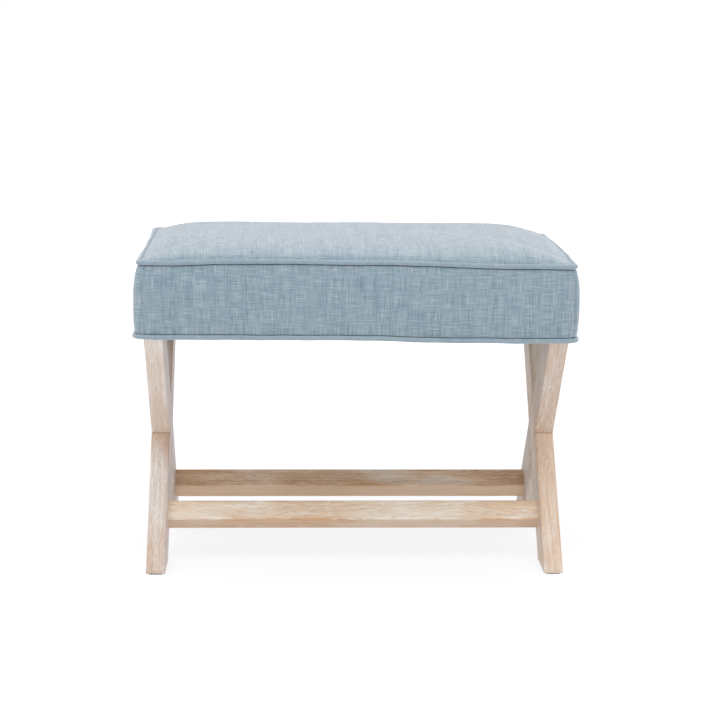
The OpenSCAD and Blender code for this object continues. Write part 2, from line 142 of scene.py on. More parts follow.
def thicken(piece, thickness, smoothed=False):
    """Gives a surface its thickness, inward, and rounds it first where that is asked for."""
    if smoothed:
        add_modifier(piece, "SUBSURF", levels=1, render_levels=1)
    add_modifier(piece, "SOLIDIFY", thickness=thickness * MM, offset=-1, use_rim=True)
    bake(piece)


def store_weave(piece, places):
    """Keeps where each point lies on the flat cloth, in metres, for the weave to follow."""
    attribute = piece.data.attributes.new("weave", "FLOAT_VECTOR", "POINT")
    attribute.data.foreach_set("vector", (np.asarray(places) * MM).ravel())


def quads(rows, columns, closed=False, start=0):
    """Faces of a grid of points that runs row by row."""
    last = columns if closed else columns - 1
    return [
        (start + r * columns + c, start + r * columns + (c + 1) % columns,
         start + (r + 1) * columns + (c + 1) % columns, start + (r + 1) * columns + c)
        for r in range(rows - 1) for c in range(last)
    ]


def tube_faces(count, sides):
    """Faces of a closed tube whose points run ring by ring."""
    return [
        (i * sides + k, ((i + 1) % count) * sides + k,
         ((i + 1) % count) * sides + (k + 1) % sides, i * sides + (k + 1) % sides)
        for i in range(count) for k in range(sides)
    ]


def faces_to_rim(first, rim):
    """Faces from a ring of points to a grid's rim, which waits at each corner of the grid."""
    faces = []
    for i in range(len(rim)):
        j = (i + 1) % len(rim)
        corners = [first + i, first + j, rim[j], rim[i]]
        faces.append(corners if rim[i] != rim[j] else corners[:3])
    return faces


def ripples(x, y, seed, wavelength, amplitude, count=9):
    """Smooth random waves over two coordinates, the same on every run."""
    random = np.random.default_rng(seed)
    total = np.zeros(np.broadcast(x, y).shape)
    for _ in range(count):
        angle, phase = random.uniform(0, 2 * math.pi, 2)
        pitch = wavelength * random.uniform(0.7, 1.5)
        run = np.asarray(x) * math.cos(angle) + np.asarray(y) * math.sin(angle)
        total = total + np.sin(2 * math.pi * run / pitch + phase)
    return total * amplitude / math.sqrt(count / 2)


# The line round the seat: straight sides and quarter turns, anticlockwise from the front left.
# The length of a turn is measured at one radius, whatever the radius of what follows the line.

TURN_R = 12.0
TURN = math.pi / 2 * TURN_R
SIDE_LENGTHS = (2 * ARC_X, 2 * ARC_Y, 2 * ARC_X, 2 * ARC_Y)
FRONT_U = 0.0
RIGHT_U = 2 * ARC_X + TURN
REAR_U = RIGHT_U + 2 * ARC_Y + TURN
LEFT_U = REAR_U + 2 * ARC_X + TURN
ROUND_U = LEFT_U + 2 * ARC_Y + TURN


def seat_line(long_steps, short_steps, turn_steps):
    """Centres, outward directions and lengths along the line round the seat."""
    centres, normals, lengths = [], [], []
    corners = [(ARC_X, -ARC_Y), (ARC_X, ARC_Y), (-ARC_X, ARC_Y), (-ARC_X, -ARC_Y)]
    starts = [corners[3], corners[0], corners[1], corners[2]]
    u = 0.0
    for side in range(4):
        steps = long_steps if side % 2 == 0 else short_steps
        facing = math.radians(90 * side - 90)
        for i in range(steps + 1):
            share = i / steps
            centres.append([a + (b - a) * share for a, b in zip(starts[side], corners[side])])
            normals.append([math.cos(facing), math.sin(facing)])
            lengths.append(u + share * SIDE_LENGTHS[side])
        u += SIDE_LENGTHS[side]
        for i in range(1, turn_steps):
            share = i / turn_steps
            angle = facing + share * math.pi / 2
            centres.append(corners[side])
            normals.append([math.cos(angle), math.sin(angle)])
            lengths.append(u + share * TURN)
        u += TURN
    return np.array(centres), np.array(normals), np.array(lengths)


def length_along(x, y):
    """How far along that line a point of the seat lies."""
    x, y = np.asarray(x), np.asarray(y)
    dx, dy = np.abs(x) - ARC_X, np.abs(y) - ARC_Y
    corner = (dx > 0) & (dy > 0)
    long_side = ~corner & (dy >= dx)
    along = np.where(
        long_side,
        np.where(y < 0, FRONT_U + x + ARC_X, REAR_U + ARC_X - x),
        np.where(x > 0, RIGHT_U + y + ARC_Y, LEFT_U + ARC_Y - y),
    )
    angle = np.arctan2(np.abs(dy), np.abs(dx)) / (math.pi / 2)
    quarter = np.where(x > 0, np.where(y < 0, 0, 1), np.where(y > 0, 2, 3))
    begins = np.array([2 * ARC_X, RIGHT_U + 2 * ARC_Y, REAR_U + 2 * ARC_X, LEFT_U + 2 * ARC_Y])[quarter]
    return np.where(corner, begins + np.where(quarter % 2 == 0, 1 - angle, angle) * TURN, along)


CURVE_STEPS = 1200
CURVE_WINDOW = 31


def around(u, knots):
    """A smooth periodic curve through (length, value) knots."""
    lengths, heights = zip(*sorted(knots))
    fine = np.linspace(0, ROUND_U, CURVE_STEPS, endpoint=False)
    values = np.interp(fine, lengths, heights, period=ROUND_U)
    window = np.hanning(CURVE_WINDOW)
    reach = CURVE_WINDOW // 2
    padded = np.concatenate([values[-reach:], values, values[:reach]])
    values = np.convolve(padded, window / window.sum(), "valid")
    return np.interp(u, fine, values, period=ROUND_U)


# How the sewn seat departs from straight lines, in millimetres: each welt's rise and its
# shift outward, at lengths along the seat's line. Four of the lengths are the corners' middles.

HALF_TURN = 9.0
FRONT_RIGHT = 2 * ARC_X + HALF_TURN
REAR_RIGHT = REAR_U - HALF_TURN
REAR_LEFT = LEFT_U - HALF_TURN
FRONT_LEFT = ROUND_U - HALF_TURN

TOP_RISE = [
    (FRONT_LEFT, 0.9), (36, 1.5), (103, 3.3), (159, 4.0), (215, 3.8), (282, 3.0), (326, 3.1),
    (393, 1.9), (438, -0.4), (505, -1.6), (FRONT_RIGHT, -2.8),
    (RIGHT_U + 90, -0.8), (RIGHT_U + 200, -0.6), (RIGHT_U + 300, -2.6), (REAR_RIGHT, -5.4),
    (REAR_U + 100, 0.4), (REAR_U + 300, 0.8), (REAR_U + 460, 1.4), (REAR_LEFT, 1.6),
    (LEFT_U + 100, 0.8), (LEFT_U + 230, 1.2),
]
TOP_SHIFT = [
    (FRONT_LEFT, 1.4), (40, 0), (150, -0.6), (400, 0.3), (2 * ARC_X - 40, 0), (FRONT_RIGHT, 1.2),
    (RIGHT_U + 40, 0.4), (RIGHT_U + 110, 0.8), (RIGHT_U + 230, 0.6),
    (REAR_U - 50, 0), (REAR_RIGHT, 2.8),
    (REAR_U + 40, 0), (REAR_U + 300, -0.8), (LEFT_U - 50, 0), (REAR_LEFT, 3.6),
    (LEFT_U + 40, 1.2), (LEFT_U + 120, 0), (LEFT_U + 240, -0.4),
]
LOW_RISE = [
    (FRONT_LEFT, 2.2), (93, 1.3), (193, 1.0), (282, 1.0), (326, 0.1), (371, -1.3),
    (416, -2.4), (493, -2.2), (FRONT_RIGHT, -2.8), (RIGHT_U + 180, 0.4), (REAR_U + 120, -1.0),
    (REAR_U + 330, 1.0), (LEFT_U + 170, -0.4),
]
LOW_SHIFT = [
    (FRONT_LEFT, 2.0), (50, 0.4), (2 * ARC_X - 50, 0.4), (FRONT_RIGHT, 0.6),
    (RIGHT_U + 60, 1.8), (RIGHT_U + 300, 1.6), (REAR_RIGHT, 2.2), (REAR_U + 60, 0), (LEFT_U - 60, 0),
    (REAR_LEFT, 2.4), (LEFT_U + 60, 1.8), (LEFT_U + 300, 2.4),
]


# How far from a corner's middle a leg stands in the way, along a long and a short side
LEG_ALONG_LONG, LEG_ALONG_SHORT = 42, 92


def reach_inward(u):
    """How far in, as a radius, the seam allowances reach: they stop short at the legs."""
    corner = np.array([-TURN / 2, 2 * ARC_X + TURN / 2, REAR_U - TURN / 2, LEFT_U - TURN / 2])
    apart = np.abs((u[:, None] - corner[None, :] + ROUND_U / 2) % ROUND_U - ROUND_U / 2).min(axis=1)
    on_long = (u < 2 * ARC_X) | ((u >= REAR_U) & (u <= REAR_U + 2 * ARC_X))
    return np.where(apart < np.where(on_long, LEG_ALONG_LONG, LEG_ALONG_SHORT), LEG_CLEAR_R, TUCK_R)


def curve(knots, seed, wavelength, amplitude):
    """A function of the length along the seat: the smooth curve through knots, and small ripples."""
    def value_at(u):
        return around(u, knots) + ripples(u, 0 * u, seed, wavelength, amplitude)
    return value_at


top_rise = curve(TOP_RISE, seed=3, wavelength=90, amplitude=0.18)
top_shift = curve(TOP_SHIFT, seed=4, wavelength=70, amplitude=0.2)
low_rise = curve(LOW_RISE, seed=5, wavelength=80, amplitude=0.2)
low_shift = curve(LOW_SHIFT, seed=6, wavelength=90, amplitude=0.25)


def inside_edge(x, y):
    """Distance from a point of the top panel to the panel's edge, in plan."""
    over_x, over_y = np.abs(x) - ARC_X, np.abs(y) - ARC_Y
    out = np.hypot(np.maximum(over_x, 0), np.maximum(over_y, 0))
    return np.maximum(COVER_R - out - np.minimum(np.maximum(over_x, over_y), 0), 0)


# Distances, in millimetres, over which the forms of the top panel fade
RISE_FADE = 35
LUMP_FADE = 60
SIDE_FADE = 15
TUCK_FADE = 2.5


def crown_height(x, y, fullness=1.0):
    """Height of the top panel: the foam's crown, the welt's rise near the edges, and lumps."""
    across = np.minimum(np.abs(x) / SEAM_X, 1)
    deep = np.minimum(np.abs(y) / SEAM_Y, 1)
    power = np.where(x < 0, CROWN_POWER_LEFT, CROWN_POWER_RIGHT)
    crown = CROWN * fullness * (1 - across ** power) * (1 - deep ** CROWN_POWER_Y)
    to_edge = inside_edge(x, y)
    near = np.exp(-to_edge / RISE_FADE)
    rise = top_rise(length_along(x, y)) * near - x * SEAT_TILT * (1 - near)
    lumps = ripples(x, y, seed=11, wavelength=120, amplitude=0.4) * np.clip(to_edge / LUMP_FADE, 0, 1)
    to_corner = np.hypot(np.maximum(ARC_X - np.abs(x), 0), np.maximum(ARC_Y - np.abs(y), 0))
    roll = ROLL_RISE * (1 - (1 - np.minimum(to_edge / ROLL_RUN, 1)) ** ROLL_POWER)
    roll = roll * (1 - CORNER_FLAT_SHARE * np.exp(-(to_corner / CORNER_RUN) ** 2))
    short_side = 0.5 + 0.5 * np.tanh((np.abs(x) - ARC_X - np.abs(y) + ARC_Y) / SIDE_FADE)
    roll = roll * (1 - short_side * np.where(x < 0, LEFT_FLAT_SHARE, RIGHT_FLAT_SHARE))
    tuck = SIDE_TUCK * short_side * np.exp(-to_edge / TUCK_FADE)
    return EDGE_Z + roll + crown + rise + lumps - tuck


# The sewn casing: one closed mesh of top panel, bands and bottom, settled under pressure

LONG_STEPS = 72
SHORT_STEPS = 44
TURN_STEPS = 6
WALL_STEPS = 13
GROOVE_STEPS = 3
LOW_SWELL_POWER, TOP_SWELL_POWER = 4.0, 2.8
# Directions, in degrees, in which the band leaves the grooves round the two welts
LOW_LEAVE, TOP_LEAVE = 80, 289
BORDER_RADII = (4.8, COVER_R, 5.3, 4.4, 3.1, 1.5)
ALLOWANCE_DROP = 0.9
# What lies this close to a seam is held while the cloth settles
HELD_NEAR_SEAM = 5
CLOTH_FRAMES = 20
CLOTH = {
    "quality": 5,
    "mass": 0.25,
    "tension_stiffness": 40,
    "compression_stiffness": 25,
    "shear_stiffness": 12,
    "bending_stiffness": 1.2,
    "use_pressure": True,
    "uniform_pressure_force": 4,
    "vertex_group_mass": "held",
    "shrink_min": -0.002,
}
# The casing goes into the simulation a little slack, because the pressure swells it, and the
# settled cloth's folds and puckers are then laid over the fitted shape
SLACK_CROWN = 0.8
SLACK_SWELL = 2.0
MOST_FOLD = 1.2
FOLD_BLUR = 9


def arc(centre, radius, start, end, steps):
    angles = np.radians(np.linspace(start, end, steps + 1))
    return [(centre[0] + radius * math.cos(a), centre[1] + radius * math.sin(a)) for a in angles]


def band_profile(swell):
    """The band's outside as (radius, height, share of the way up), from hem to top seam."""
    low_tuck = math.degrees(math.asin(FLANGE / LOW_GROOVE_R))
    top_tuck = math.degrees(math.asin(FLANGE / TOP_GROOVE_R))
    low = arc((LOW_R, LOW_Z), LOW_GROOVE_R, 180 - low_tuck, LOW_LEAVE, GROOVE_STEPS)
    top = arc((TOP_R, SEAM_Z), TOP_GROOVE_R, TOP_LEAVE, 180 + top_tuck, GROOVE_STEPS)
    wall = []
    for i in range(1, WALL_STEPS):
        share = i / WALL_STEPS
        end, power = (low[-1][0], LOW_SWELL_POWER) if share < 0.5 else (top[0][0], TOP_SWELL_POWER)
        out = swell + (end - swell) * abs(2 * share - 1) ** power
        wall.append((out, low[-1][1] + (top[0][1] - low[-1][1]) * share))
    path = [(TUCK_R, HEM_Z), *low, *wall, *top, (TUCK_R, SEAM_Z - FLANGE)]
    return [(r, z, min(max((z - LOW_Z) / (SEAM_Z - LOW_Z), 0), 1)) for r, z in path]


class Casing:
    """Points and faces of the casing, with where each panel's points begin."""

    def __init__(self, fullness=1.0, swell=SWELL_R):
        self.centres, self.normals, self.u = seat_line(LONG_STEPS, SHORT_STEPS, TURN_STEPS)
        self.columns = len(self.u)
        self.fullness = fullness
        self.profile = band_profile(swell)
        self.rows = len(self.profile)
        wall = np.concatenate([self.band_row(*place) for place in self.profile])
        border = np.concatenate([self.border_row(*row) for row in enumerate(BORDER_RADII)])
        grid_x = np.linspace(-ARC_X, ARC_X, LONG_STEPS + 1)
        grid_y = np.linspace(-ARC_Y, ARC_Y, SHORT_STEPS + 1)
        gx, gy = np.meshgrid(grid_x, grid_y)
        grid = np.stack([gx.ravel(), gy.ravel(), crown_height(gx, gy, fullness).ravel()], axis=1)
        self.points = np.concatenate([wall, border, grid])
        self.border_start = len(wall)
        self.grid_start = len(wall) + len(border)

    def band_row(self, radius, height, share):
        rise = low_rise(self.u) * (1 - share) + top_rise(self.u) * share
        shift = low_shift(self.u) * (1 - share) + top_shift(self.u) * share
        tuck = reach_inward(self.u) if radius <= TUCK_R else radius
        out = (tuck + shift)[:, None] * self.normals
        return np.column_stack([self.centres + out, height + rise])

    def border_row(self, number, radius):
        """A row of the cover's edge. The first is the seam allowance, tucked in behind the welt."""
        flat = self.centres + radius * self.normals
        height = crown_height(flat[:, 0], flat[:, 1], self.fullness)
        if number == 0:
            height = EDGE_Z - ALLOWANCE_DROP + top_rise(self.u)
        plan = flat + (radius / EDGE_R * top_shift(self.u))[:, None] * self.normals
        return np.column_stack([plan, height])

    def rim_of_grid(self):
        """The grid's outer points, one for each column of the seat's line."""
        wide, deep = LONG_STEPS + 1, SHORT_STEPS + 1
        front = list(range(wide))
        right = [wide - 1 + wide * i for i in range(deep)]
        rear = [wide * deep - 1 - i for i in range(wide)]
        left = [wide * (deep - 1) - wide * i for i in range(deep)]
        rim = []
        for side in (front, right, rear, left):
            rim += side + [side[-1]] * (TURN_STEPS - 1)
        return [self.grid_start + i for i in rim]

    def cover_faces(self):
        border = quads(len(BORDER_RADII), self.columns, True, self.border_start)
        to_grid = faces_to_rim(self.grid_start - self.columns, self.rim_of_grid())
        return border + to_grid + quads(SHORT_STEPS + 1, LONG_STEPS + 1, False, self.grid_start)

    def wall_faces(self):
        return quads(self.rows, self.columns, True)

    def closing_faces(self):
        """The seam between band and cover, and the underside."""
        n, top = self.columns, (self.rows - 1) * self.columns
        seam = [(top + i, top + (i + 1) % n, self.border_start + (i + 1) % n, self.border_start + i)
                for i in range(n)]
        return seam + [tuple(range(n))[::-1]]

    def held(self):
        """A weight of 1 for the points that the seams hold, and 0 for the others."""
        weights = np.zeros(len(self.points))
        for row, (_, height, _) in enumerate(self.profile):
            to_seam = min(height - LOW_Z, SEAM_Z - height)
            weights[row * self.columns:(row + 1) * self.columns] = to_seam < HELD_NEAR_SEAM
        weights[self.border_start:self.border_start + 2 * self.columns] = 1
        return weights


def settled(casing):
    """How far cloth simulation moves the casing's points, with its seams held, under pressure."""
    start = casing.points
    faces = casing.wall_faces() + casing.cover_faces() + casing.closing_faces()
    cloth = new_piece("casing_for_cloth", start, faces, None, None)
    held = cloth.vertex_groups.new(name="held")
    weights = casing.held()
    for value in np.unique(weights):
        held.add(np.flatnonzero(weights == value).tolist(), float(value), "REPLACE")
    settings = add_modifier(cloth, "CLOTH").settings
    for key, value in CLOTH.items():
        setattr(settings, key, value)
    settings.effector_weights.gravity = 0
    scene = bpy.context.scene
    for number in range(1, CLOTH_FRAMES + 1):
        scene.frame_set(number)
    graph = bpy.context.evaluated_depsgraph_get()
    flat = np.empty(3 * len(start))
    cloth.evaluated_get(graph).data.vertices.foreach_get("co", flat)
    mesh = cloth.data
    bpy.data.objects.remove(cloth)
    bpy.data.meshes.remove(mesh)
    scene.frame_set(1)
    return flat.reshape(-1, 3) / MM - start


def blurred(values, closed):
    """Values of a grid of points, averaged over their neighbours. A closed grid goes round."""
    window = np.hanning(FOLD_BLUR + 2)[1:-1]
    window = window / window.sum()
    reach = FOLD_BLUR // 2
    for axis, around_it in ((0, False), (1, closed)):
        values = np.moveaxis(values, axis, 0)
        mode = "wrap" if around_it else "edge"
        wide = np.pad(values, [(reach, reach), (0, 0), (0, 0)], mode=mode)
        values = sum(w * wide[k:k + len(values)] for k, w in enumerate(window))
        values = np.moveaxis(values, 0, axis)
    return values


def folds_of(move, rows, columns, closed):
    """The fine part of a movement, capped: what stays of it when its smooth part is taken away."""
    move = move.reshape(rows, columns, 3)
    fine = move - blurred(move, closed)
    length = np.linalg.norm(fine, axis=2, keepdims=True)
    return (fine * np.minimum(1, MOST_FOLD / np.maximum(length, 1e-6))).reshape(-1, 3)


def sewn_casing():
    """The casing as sewn and filled: the fitted shape, with the settled cloth's folds over it."""
    casing = Casing()
    move = settled(Casing(SLACK_CROWN, SWELL_R - SLACK_SWELL))
    wall, grid = casing.border_start, casing.grid_start
    casing.points[:wall] += folds_of(move[:wall], casing.rows, casing.columns, True)
    folds = folds_of(move[grid:], SHORT_STEPS + 1, LONG_STEPS + 1, False)
    casing.points[grid:] += folds
    rim = np.array(casing.rim_of_grid()) - grid
    for row, radius in enumerate(BORDER_RADII):
        first = wall + row * casing.columns
        share = (1 - min(radius / COVER_R, 1)) * (row > 1)
        casing.points[first:first + casing.columns] += folds[rim] * share
    return casing


# Seams between the bands: how many steps round each corner, after the side before it, they lie
SEAM_STEPS = {"front_right": 2, "rear_right": 3, "rear_left": 3, "front_left": 0}
SEAM_DEPTH = 1.7
# Where on the cloth the cover was cut, and how far apart in it the layers for the bands
# and the welts lie, so that no two pieces show the same threads
COVER_PLACE = (3000, 700, 11)
BAND_LAYERS, WELT_LAYER = 40, 30


def band_columns(casing):
    """The columns of each band, from one corner seam to the next."""
    n = casing.columns
    seams, corner = [], 0
    for steps, side in zip(SEAM_STEPS.values(), (LONG_STEPS, SHORT_STEPS, LONG_STEPS, SHORT_STEPS)):
        seams.append(corner + side + steps)
        corner += side + TURN_STEPS
    seams.append(seams[0] + n)
    names = ("right_band", "rear_band", "left_band", "front_band")
    return {name: [c % n for c in range(first, last + 1)]
            for name, first, last in zip(names, seams, seams[1:])}


def make_band(casing, name, columns, material):
    n = casing.columns
    rows = []
    for row in range(casing.rows):
        rows.append(casing.points[row * n:(row + 1) * n][columns].copy())
    for row in range(2, casing.rows - 2):
        for end in (0, -1):
            rows[row][end, :2] -= SEAM_DEPTH * casing.normals[columns[end]]
    faces = quads(casing.rows, len(columns))
    piece = new_piece(name + "_fabric", np.concatenate(rows), faces, material, "linen")
    thicken(piece, BAND_FABRIC, smoothed=True)
    points = points_of(piece)
    along = length_along(points[:, 0], points[:, 1])
    if name == "front_band":
        along = np.where(along > ROUND_U / 2, along - ROUND_U, along)
    layer = 0 * along + BAND_LAYERS * len(columns)
    store_weave(piece, np.column_stack([along, points[:, 2], layer]))
    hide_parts(name)


def make_top_cover(casing, material):
    keep = casing.border_start
    points = casing.points[keep:]
    faces = [tuple(i - keep for i in face) for face in casing.cover_faces()]
    piece = new_piece("top_cover_fabric", points, faces, material, "linen")
    thicken(piece, COVER_FABRIC, smoothed=True)
    store_weave(piece, points_of(piece) * [1, 1, 0] + COVER_PLACE)
    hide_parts("top_cover")


# Welts: a fabric tube round a cord, with its two edges held in the seam

WELT_SIDES = 14
# Each welt's radius, height, rise and shift
WELTS = {
    "top_welt": (TOP_R, SEAM_Z, top_rise, top_shift),
    "bottom_welt": (LOW_R, LOW_Z, low_rise, low_shift),
}
WELT_STEPS = (150, 90, 8)
CORD_SIDES = 10
CORD_R = 1.6


def welt_section(inner):
    """A welt's outline as (shift outward, shift up): the tube, then its flat seam allowance."""
    opening = math.asin(FLANGE / WELT_R)
    angles = np.linspace(-math.pi + opening, math.pi - opening, WELT_SIDES)
    tube = [(WELT_R * math.cos(a), WELT_R * math.sin(a)) for a in angles]
    return tube + [(inner, FLANGE), (inner, -FLANGE)]


def make_welt(name, radius, height, rise, shift, material, seed):
    centres, normals, u = seat_line(*WELT_STEPS)
    up, out = rise(u), shift(u)
    swell = 1 + ripples(u, 0 * u, seed, wavelength=26, amplitude=0.02)
    inner = reach_inward(u) if height < SEAM_Z else 0 * u + TUCK_R
    columns = []
    for side, (dr, dz) in enumerate(welt_section(0)):
        if side < WELT_SIDES:
            reach, lift = radius + out + dr * swell, dz * swell
        else:
            reach, lift = inner + out, dz
        columns.append(np.column_stack([centres + reach[:, None] * normals, height + up + lift]))
    rings = np.stack(columns, axis=1)
    count, sides = rings.shape[:2]
    faces = tube_faces(count, sides)
    piece = new_piece(name + "_tube", rings.reshape(-1, 3), faces, material, "linen")
    girth = np.tile(np.arange(sides) * 2 * math.pi * WELT_R / sides, count)
    along = np.repeat(u, sides)
    bias = np.column_stack([along + girth, along - girth, 0 * along + WELT_LAYER + seed])
    store_weave(piece, bias * math.sqrt(0.5))
    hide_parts(name)


def make_cord(name, radius, height, rise, shift, material):
    centres, normals, u = seat_line(*WELT_STEPS)
    reach = radius + shift(u)
    middle = np.column_stack([centres + reach[:, None] * normals, height + rise(u)])
    rings = []
    for k in range(CORD_SIDES):
        a = 2 * math.pi * k / CORD_SIDES
        step = np.column_stack([CORD_R * math.cos(a) * normals, 0 * u + CORD_R * math.sin(a)])
        rings.append(middle + step)
    rings = np.stack(rings, axis=1).reshape(-1, 3)
    piece = new_piece(name + "_strand", rings, tube_faces(len(u), CORD_SIDES), material, "cotton_cord")
    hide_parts(name)


# Filling under the cover: the foam's side as (radius, height) from its base to its rim, with
# eased edges, and the side wadding's inner face from the foam down past the deck to the rails

FOAM_RIM_Z = 443.3
FOAM_PROFILE = [
    (FOAM_R - 1.5, DECK_TOP), (FOAM_R, DECK_TOP + 1.5), (FOAM_R, 425.0), (FOAM_R, 440.5),
    (FOAM_R - 1.5, 442.6), (FOAM_R - 4.0, FOAM_RIM_Z),
]
FOAM_INSET = 4
FOAM_UNDER_COVER = 5.4
FOAM_EDGE_RUN = 8
FOAM_EDGE_RISE = 0.35
WADDING_INSET = 1
WADDING_UNDER_COVER = 1.6
WADDING_T = 2.8
WADDING_BEHIND_BAND = 1.8
SIDE_WADDING_INNER = [
    (FOAM_R + 0.4, 440.0), (FOAM_R + 0.4, DECK_TOP + 0.4), (WALL_R, DECK_TOP + 0.3), (WALL_R, 352.0),
]


def rings_of(casing, profile):
    """A row of points round the seat for each (radius, height)."""
    return [np.column_stack([casing.centres + radius * casing.normals, 0 * casing.u + height])
            for radius, height in profile]


def layer_under(casing, inset, drop):
    """The cover's grid of points, drawn in from the sides and lowered."""
    shrink = np.array([(ARC_X - inset) / ARC_X, (ARC_Y - inset) / ARC_Y, 1])
    return casing.points[casing.grid_start:] * shrink - [0, 0, drop]


def make_foam(casing, material):
    """A foam block with eased edges, crowned like the cover and clear of it by the wadding."""
    n = casing.columns
    grid = layer_under(casing, FOAM_INSET, FOAM_UNDER_COVER)
    edge = np.minimum(ARC_X - FOAM_INSET - np.abs(grid[:, 0]), ARC_Y - FOAM_INSET - np.abs(grid[:, 1]))
    share = np.clip(edge / FOAM_EDGE_RUN, FOAM_EDGE_RISE, 1)
    grid[:, 2] = FOAM_RIM_Z + (grid[:, 2] - FOAM_RIM_Z) * share
    start = len(FOAM_PROFILE) * n
    rim = [i - casing.grid_start + start for i in casing.rim_of_grid()]
    faces = quads(len(FOAM_PROFILE), n, True) + faces_to_rim(start - n, rim)
    faces += quads(SHORT_STEPS + 1, LONG_STEPS + 1, False, start)
    faces.append(tuple(range(n))[::-1])
    points = np.concatenate([*rings_of(casing, FOAM_PROFILE), grid])
    piece = new_piece("foam_block", points, faces, material, "foam")
    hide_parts("foam_pad")


def make_top_wadding(casing, material):
    """A soft sheet over the foam, under the cover."""
    grid = layer_under(casing, WADDING_INSET, WADDING_UNDER_COVER)
    grid[:, 2] += ripples(grid[:, 0], grid[:, 1], seed=21, wavelength=24, amplitude=0.15)
    faces = quads(SHORT_STEPS + 1, LONG_STEPS + 1)
    piece = new_piece("top_wadding_layer", grid, faces, material, "wadding")
    thicken(piece, WADDING_T)
    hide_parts("top_wadding")


def make_side_wadding(casing, material):
    """A soft strip round the base, between the rails and the bands."""
    n = casing.columns
    rows = []
    for row in range(GROOVE_STEPS + 2, casing.rows - GROOVE_STEPS - 2):
        points = casing.points[row * n:(row + 1) * n].copy()
        points[:, :2] -= WADDING_BEHIND_BAND * casing.normals
        rows.append(points)
    rows += rings_of(casing, SIDE_WADDING_INNER)
    last = (len(rows) - 1) * n
    faces = quads(len(rows), n, True)
    faces += [(last + i, last + (i + 1) % n, (i + 1) % n, i) for i in range(n)]
    piece = new_piece("side_wadding_strip", np.concatenate(rows), faces, material, "wadding")
    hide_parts("side_wadding")


# Underside

DUST_X, DUST_Y = 298.0, 183.0
NOTCH_X, NOTCH_Y = 269.0, 99.5
# A line of points between the notches and each short edge
MARGIN_X = 284.0
STAPLE_XS = [243 * (2 * i / 7 - 1) for i in range(8)]
STAPLE_YS = [-78.4, 0, 78.4]
STAPLE_LIFT = 0.4
DUST_SAG = 2.2
# How far the cloth's edge rises between two staples
SCALLOP = 0.36
SCALLOP_FADE = 22
HALF_GAP_X, HALF_GAP_Y = 35, 39


def make_dust_cover(material):
    """A thin cloth stretched between its staples, cut out round the legs."""
    xs = np.unique([*np.linspace(-NOTCH_X, NOTCH_X, 64), -DUST_X, -MARGIN_X, MARGIN_X, DUST_X])
    ys = np.unique([*np.linspace(-NOTCH_Y, NOTCH_Y, 26), *np.linspace(-DUST_Y, -NOTCH_Y, 11),
                    *np.linspace(NOTCH_Y, DUST_Y, 11)])
    gx, gy = np.meshgrid(xs, ys)
    x, y = gx.ravel(), gy.ravel()
    middle = np.clip(1 - (x / DUST_X) ** 2, 0, 1) * np.clip(1 - (y / DUST_Y) ** 2, 0, 1)
    scallop = 0 * x
    for place, other, size, staples, half_gap in (
            (x, y, DUST_Y, STAPLE_XS, HALF_GAP_X), (y, x, DUST_X, STAPLE_YS, HALF_GAP_Y)):
        to_staple = np.abs(place[:, None] - np.array(staples)[None, :]).min(axis=1)
        near_edge = np.exp(-(size - np.abs(other)) / SCALLOP_FADE)
        scallop = scallop + near_edge * np.clip(to_staple / half_gap, 0, 1)
    lumps = ripples(x, y, seed=31, wavelength=60, amplitude=0.12) * middle
    z = DUST_Z + STAPLE_LIFT - DUST_SAG * middle + SCALLOP * scallop + lumps
    faces = [
        f for f in quads(len(ys), len(xs))
        if not (abs(np.mean(x[list(f)])) > NOTCH_X and abs(np.mean(y[list(f)])) > NOTCH_Y)
    ]
    used = sorted({i for f in faces for i in f})
    index = {old: new for new, old in enumerate(used)}
    points = np.column_stack([x, y, z])[used]
    faces = [tuple(index[i] for i in f)[::-1] for f in faces]
    piece = new_piece("dust_cover_cloth", points, faces, material, "cambric")
    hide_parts("dust_cover")


PAD_STEPS = 40
PAD_SQUARENESS = 0.22
PAD_FUZZ = 0.12
# A pad's side as (distance outward, height), from the floor up
PAD_PROFILE = [(-0.5, 0.0), (0.0, 0.3), (0.0, PAD_SIZE[2] - 0.25), (-0.25, PAD_SIZE[2])]


def make_foot_pads(material):
    """Four felt pads with soft edges, glued under the feet."""
    wide, long, thick = PAD_SIZE

    def rounded(value):
        return math.copysign(abs(value) ** PAD_SQUARENESS, value)

    points, faces = [], []
    for sx in (-1, 1):
        for sy in (-1, 1):
            start = len(points)
            for inset, z in PAD_PROFILE:
                for k in range(PAD_STEPS):
                    a = 2 * math.pi * k / PAD_STEPS
                    px = (wide / 2 + inset) * rounded(math.cos(a))
                    py = (long / 2 + inset) * rounded(math.sin(a))
                    fuzz = PAD_FUZZ * math.sin(13 * a + sx) * (0 < z < thick)
                    points.append((sx * LEG_X + px + fuzz, sy * PAD_Y + py + fuzz, z))
            faces += quads(len(PAD_PROFILE), PAD_STEPS, True, start)
            faces.append(tuple(range(start, start + PAD_STEPS))[::-1])
            faces.append(tuple(range(len(points) - PAD_STEPS, len(points))))
    piece = new_piece("felt_glides", points, faces, material, "felt")
    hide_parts("foot_pads")


# Materials

